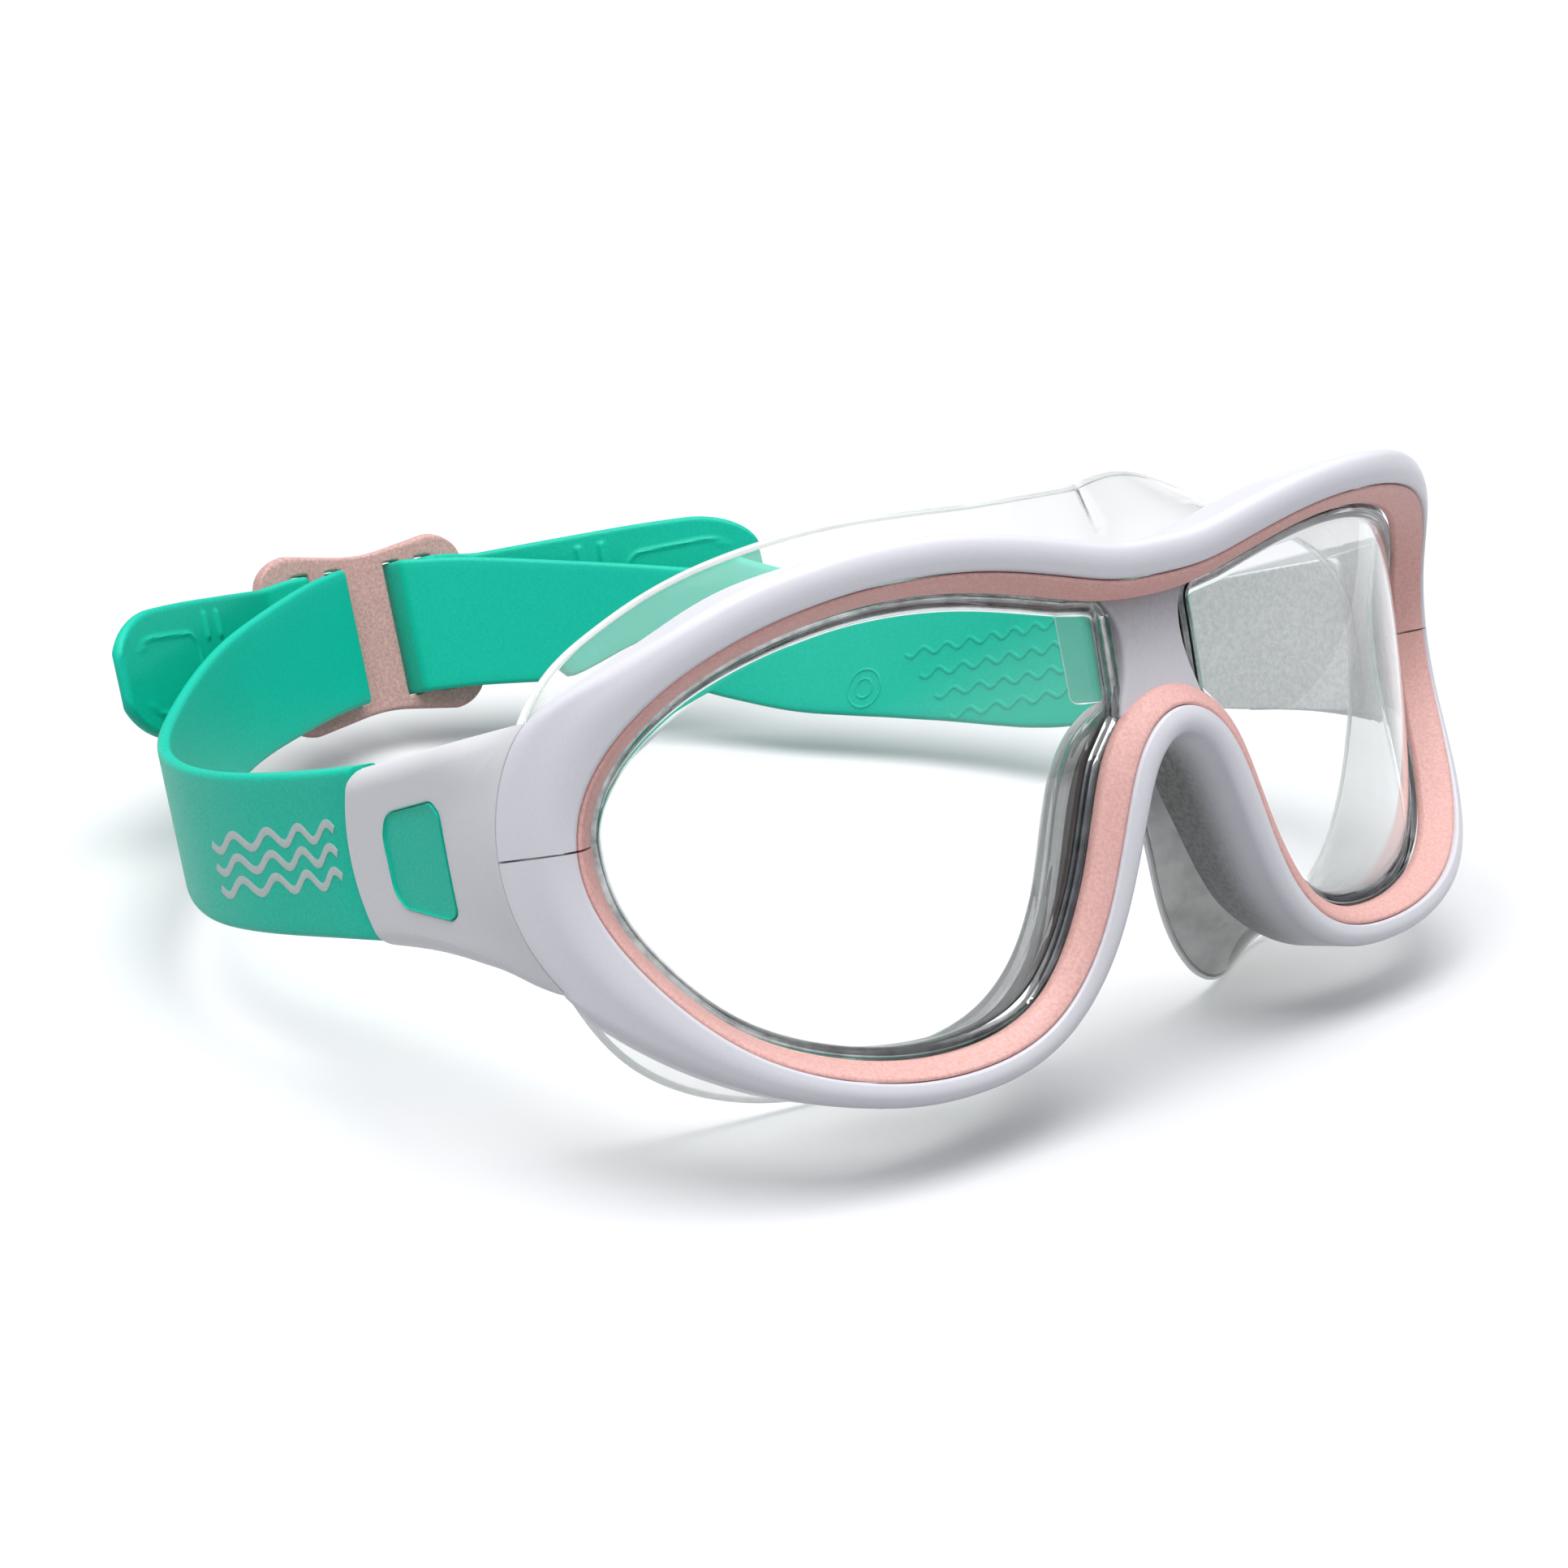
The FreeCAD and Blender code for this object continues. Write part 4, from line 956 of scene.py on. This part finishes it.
# ---- print and moulded marks on the strap
def on_strap(s, z, outward, lift):
    """Points of the right strap at run length s and height z, lifted off its outer or inner face."""
    inner, normal, thick = strap_course(s)
    offset = thick + lift if outward else -lift
    place = inner + normal * np.broadcast_to(offset, s.shape)[:, None]
    back = front_shift(s, z, STRAP_INNER_FACE[0][1])
    return np.stack([place[:, 0], place[:, 1] + back, z], 1)


def ribbon(s, z, width, outward, height):
    """A raised line along the path (s, z) on the strap's face."""
    path = np.stack([s, z], 1)
    along = unit(np.gradient(path, axis=0))
    across = np.stack([-along[:, 1], along[:, 0]], 1) * width / 2
    rows = []
    for side, lift in ((-1, -0.15), (-1, 0.6 * height), (-0.6, height), (0.6, height), (1, 0.6 * height),
                       (1, -0.15)):
        flat = path + across * side
        rows.append(on_strap(flat[:, 0], flat[:, 1], outward, lift))
    return sweep(np.stack(rows, 1), closed=False)


def waves(start, end, z, swing, count, width, outward, height):
    s = np.linspace(start, end, 90)
    wave = z + swing * np.sin((s - start) / (end - start) * count * 2 * math.pi)
    return ribbon(s, wave, width, outward, height)


PRINT_HEIGHTS = (-13.6, -16.4, -19.2)
print_lines = [waves(4.5, 36.5, z, 0.9, 4, 1.0, True, 0.06) for z in PRINT_HEIGHTS]
add_on_straps("print", merged(print_lines), PRINT)

turn = np.linspace(0, 2 * math.pi, 49)
RING_S, RING_Z, MARK_HEIGHT = 72.5, -12.9, 0.16
marks = [ribbon(RING_S + radius * np.cos(turn), RING_Z + radius * np.sin(turn), width, False, MARK_HEIGHT)
         for radius, width in ((2.6, 0.35), (1.3, 0.3))]
marks += [waves(32.0, 66.0 - 2.5 * k, -9.5 - 3.2 * k, 0.55, 9 - k, 0.55, False, MARK_HEIGHT)
          for k in range(4)]
add_on_straps("marks", merged(marks), TURQUOISE)

# ---- tails
TAIL_LINE = [(13.25, 175.9), (19.9, 175.9), (60.4, 147.0)]
TAIL_CORNER = 12.0


def tail_rows():
    line = round_corners([TAIL_LINE], [0, 4, 0], [0, 12, 0], closed=False)[0]
    length = chords(line)
    total = length[-1]
    bend_end = np.linspace(0, math.pi / 2, 14)
    s = np.concatenate([np.linspace(0, total - TAIL_CORNER, 150)[:-1],
                        total - TAIL_CORNER + TAIL_CORNER * np.sin(bend_end)])
    centre = at_lengths(s, length, line)
    normal = to_the_right(unit(np.gradient(centre, axis=0)))
    normal[-6:] = normal[-7]
    settle = smooth(s / 9)
    low = -2.1 + 0.3 * settle + 0.6 * smooth(s / total)
    high = 20.6 - 0.9 * settle - 0.6 * smooth(s / total)
    into = np.clip((s - (total - TAIL_CORNER)) / TAIL_CORNER, 0, 1)
    cut = TAIL_CORNER * (1 - np.sqrt(np.maximum(1 - into ** 2, 0)))
    taper = 1.3 * np.clip((s - total + 26) / 26, 0, 1) ** 2
    low, high = low + 0.54 * cut + taper, high - 0.54 * cut - taper
    thick = THIN * np.sqrt(np.clip((total + 0.05 - s) / 0.8, 0.02, 1))
    rows = band_rows(centre, normal, thick, low, high, long_steps=60)
    return rows, s, normal, total


def tail_relief(s, z, total):
    """Height of the raised pad outline and the two ribs on the tail's head side."""
    middle_s, middle_z, half_s, half_z, corner = total - 14.6, 8.7, 8.8, 5.7, 3.2
    qs, qz = np.abs(s - middle_s) - half_s + corner, np.abs(z - middle_z) - half_z + corner
    edge = np.hypot(np.maximum(qs, 0), np.maximum(qz, 0)) + np.minimum(np.maximum(qs, qz), 0) - corner
    height = 0.34 * np.exp(-(edge / 0.34) ** 2) + 0.08 * smooth(-edge / 0.6)
    for rib in (27.0, 31.0):
        along = np.abs(s - (total - rib)) / 0.55
        up = np.abs(z - 15.2) - 1.8
        height += 0.5 * np.exp(-along ** 2) * smooth(1 - np.maximum(up, 0) / 0.6)
    return height


rows, s, normal, total = tail_rows()
offset = np.einsum("nmk,nk->nm", rows[..., :2] - rows[..., :2].mean(1, keepdims=True), normal)
head_side = smooth((offset - 0.55) / 0.3)
lift = tail_relief(s[:, None], rows[..., 2], total) * head_side
rows[..., :2] += normal[:, None] * lift[..., None]
for side, flip in SIDES:
    points, faces = sweep(rows * (flip, 1, 1), closed=False)
    start, end = (TAIL_LINE[1][0] * flip, TAIL_LINE[1][1], 9.0), (33.0 * flip, 166.6, 9.0)
    add_piece(f"{side}_tail_band", points, faces, ("harness", f"{side}_tail", start, end),
              TURQUOISE, [f"tail_{side}"])

# ---- buckle
BUCKLE_FACE, BUCKLE_THICKNESS, BUCKLE_MIDDLE = 177.4, 3.0, 9.4
SLOT_HALF = 11.4
BUCKLE_HALF_WIDTH, BUCKLE_CORNER, BUCKLE_BULGE = 19.7, 6.0, 15.2
buckle_top = Spline([-13.7, -7, 0, 7, 13.7], [BUCKLE_BULGE, 14.1, 13.3, 14.1, BUCKLE_BULGE])


def buckle_edge(x):
    """Half height of the buckle's outline at x."""
    x = abs(x)
    if x <= BUCKLE_HALF_WIDTH - BUCKLE_CORNER:
        return float(buckle_top(x)[0])
    into = (x - BUCKLE_HALF_WIDTH + BUCKLE_CORNER) / BUCKLE_CORNER
    return BUCKLE_BULGE - BUCKLE_CORNER * (1 - math.sqrt(max(1 - into ** 2, 0)))


COLUMNS = [0, 2.2, 3.7, 4.2, 7.0, 7.5, 8.7, 9.9, 10.4, 13.4, 13.9, 15.4, 16.9, 18.2, 19.1, 19.7]
HOLES = [(4.2, 7.0), (10.4, 13.4)]
columns = [-x for x in COLUMNS[:0:-1]] + COLUMNS


def buckle_levels(x):
    edge = buckle_edge(x)
    slot = min(SLOT_HALF, 0.88 * edge)
    upper = [0, 4, 8, slot - 0.5, slot, slot + 0.2 * (edge - slot), slot + 0.62 * (edge - slot), edge]
    return [-z for z in upper[:0:-1]] + upper


levels = np.array([buckle_levels(x) for x in columns])
slot_low, slot_high = 3, levels.shape[1] - 4


def in_hole(i, j):
    middle = abs(columns[i] + columns[i + 1]) / 2
    return any(a < middle < b for a, b in HOLES) and slot_low <= j < slot_high


def build_buckle():
    n, m = levels.shape
    grid = {}
    points, faces = [], []

    def vertex(i, j, back):
        key = i, j, back
        if key not in grid:
            grid[key] = len(points)
            y = BUCKLE_FACE + (BUCKLE_THICKNESS if back else 0)
            points.append((columns[i], y, BUCKLE_MIDDLE + levels[i, j]))
        return grid[key]

    solid = {(i, j) for i in range(n - 1) for j in range(m - 1) if not in_hole(i, j)}
    for i, j in solid:
        ring = [(i, j), (i + 1, j), (i + 1, j + 1), (i, j + 1)]
        faces.append([vertex(a, b, False) for a, b in ring])
        faces.append([vertex(a, b, True) for a, b in ring[::-1]])
        neighbours = [(i, j - 1), (i + 1, j), (i, j + 1), (i - 1, j)]
        for (a, b), (c, d), other in zip(ring, ring[1:] + ring[:1], neighbours):
            if other not in solid:
                faces.append([vertex(a, b, False), vertex(a, b, True), vertex(c, d, True),
                              vertex(c, d, False)])
    return add_piece("rear_buckle", np.array(points), faces, "harness", DUSTY, ["buckle"])


buckle = build_buckle()
for edge in buckle.data.edges:
    edge.use_edge_sharp = False
modifier = buckle.modifiers.new("smooth", "SUBSURF")
modifier.levels = modifier.render_levels = 2
graph = bpy.context.evaluated_depsgraph_get()
smoothed = bpy.data.meshes.new_from_object(buckle.evaluated_get(graph))
buckle.modifiers.clear()
buckle.data = smoothed
smoothed.polygons.foreach_set("use_smooth", [True] * len(smoothed.polygons))

# ---- floor, light and camera
paint = Look(bpy.data.materials.new("pale_floor"))
rays = paint.add("LightPath").outputs["Is Diffuse Ray"]
distance = paint.add("VectorMath", {0: paint.place}, operation="LENGTH").outputs["Value"]
glow = paint.spread(distance, 0.3, 1.3, 0.0, 0.62)
unseen = paint.spread(rays, 0.0, 1.0, 1.0, 0.0)
paint.plug(paint.shader, {
    "Base Color": paint.mix(rays, (0.90, 0.90, 0.905), (0.30, 0.30, 0.31)),
    "Roughness": 0.9,
    "Specular IOR Level": 0.1,
    "Emission Color": (1, 1, 1),
    "Emission Strength": paint.add("Math", {0: glow, 1: unseen}, operation="MULTIPLY").outputs["Value"]})
FLOOR_HALF = 12.0
floor_mesh = bpy.data.meshes.new("floor")
floor_mesh.from_pydata([(FLOOR_HALF * x, FLOOR_HALF * y, 0) for x, y in ((-1, -1), (1, -1), (1, 1), (-1, 1))],
                       [], [(0, 1, 2, 3)])
floor_mesh.materials.append(paint.data)
floor = new_object("floor", floor_mesh)

sky = Look(bpy.data.worlds.new("studio"), "Background", "Generated")
ramp = sky.add("ValToRGB", {"Fac": sky.add("SeparateXYZ", {0: sky.place}).outputs["Z"]})
SKY = [(0.0, (0.80, 0.80, 0.81)), (0.09, (0.80, 0.80, 0.81)), (0.17, (0.16, 0.165, 0.18)),
       (0.5, (0.26, 0.27, 0.30)), (0.8, (0.80, 0.81, 0.85)), (1.0, (1.0, 1.0, 1.0))]
while len(ramp.color_ramp.elements) < len(SKY):
    ramp.color_ramp.elements.new(1.0)
for element, (position, color) in zip(ramp.color_ramp.elements, SKY):
    element.position = position
    element.color = (*color, 1)
sky.plug(sky.shader, {"Color": ramp.outputs["Color"], "Strength": 1.0})
bpy.context.scene.world = sky.data


def area_light(name, place, aim, width, height, power, color=(1, 1, 1)):
    lamp = bpy.data.lights.new(name, "AREA")
    lamp.shape = "RECTANGLE"
    lamp.size, lamp.size_y = width, height
    lamp.energy = power
    lamp.color = color
    item = new_object(name, lamp)
    item.location = place
    item.rotation_euler = (Vector(aim) - Vector(place)).to_track_quat("-Z", "Y").to_euler()
    return item


area_light("top_softbox", (-0.1, -0.1, 0.9), (0, 0, 0.03), 0.8, 0.8, 7.1)
fill = area_light("front_fill", (-0.9, -0.7, 0.35), (0, 0, 0.03), 0.35, 0.35, 0.6, (0.95, 0.96, 1.0))
fill.visible_glossy = fill.visible_transmission = False

CAMERA_PLACE = to_rest((-220.554, -204.29, 4.06))
CAMERA_TURN, CAMERA_TILT, CAMERA_ROLL = (math.radians(angle) for angle in (40.23, 17.53, 0.29))
camera_data = bpy.data.cameras.new("camera")
camera_data.sensor_width, camera_data.lens = 36.0, 59.5
camera_data.clip_start, camera_data.clip_end = 0.01, 100.0
camera = new_object("camera", camera_data)
camera.matrix_world = (Matrix.Translation(CAMERA_PLACE) @ Matrix.Rotation(-CAMERA_TURN, 4, "Z")
                       @ Matrix.Rotation(math.pi / 2 - CAMERA_TILT, 4, "X")
                       @ Matrix.Rotation(-CAMERA_ROLL, 4, "Z"))
bpy.context.scene.camera = camera
bpy.context.scene.view_settings.view_transform = "Standard"
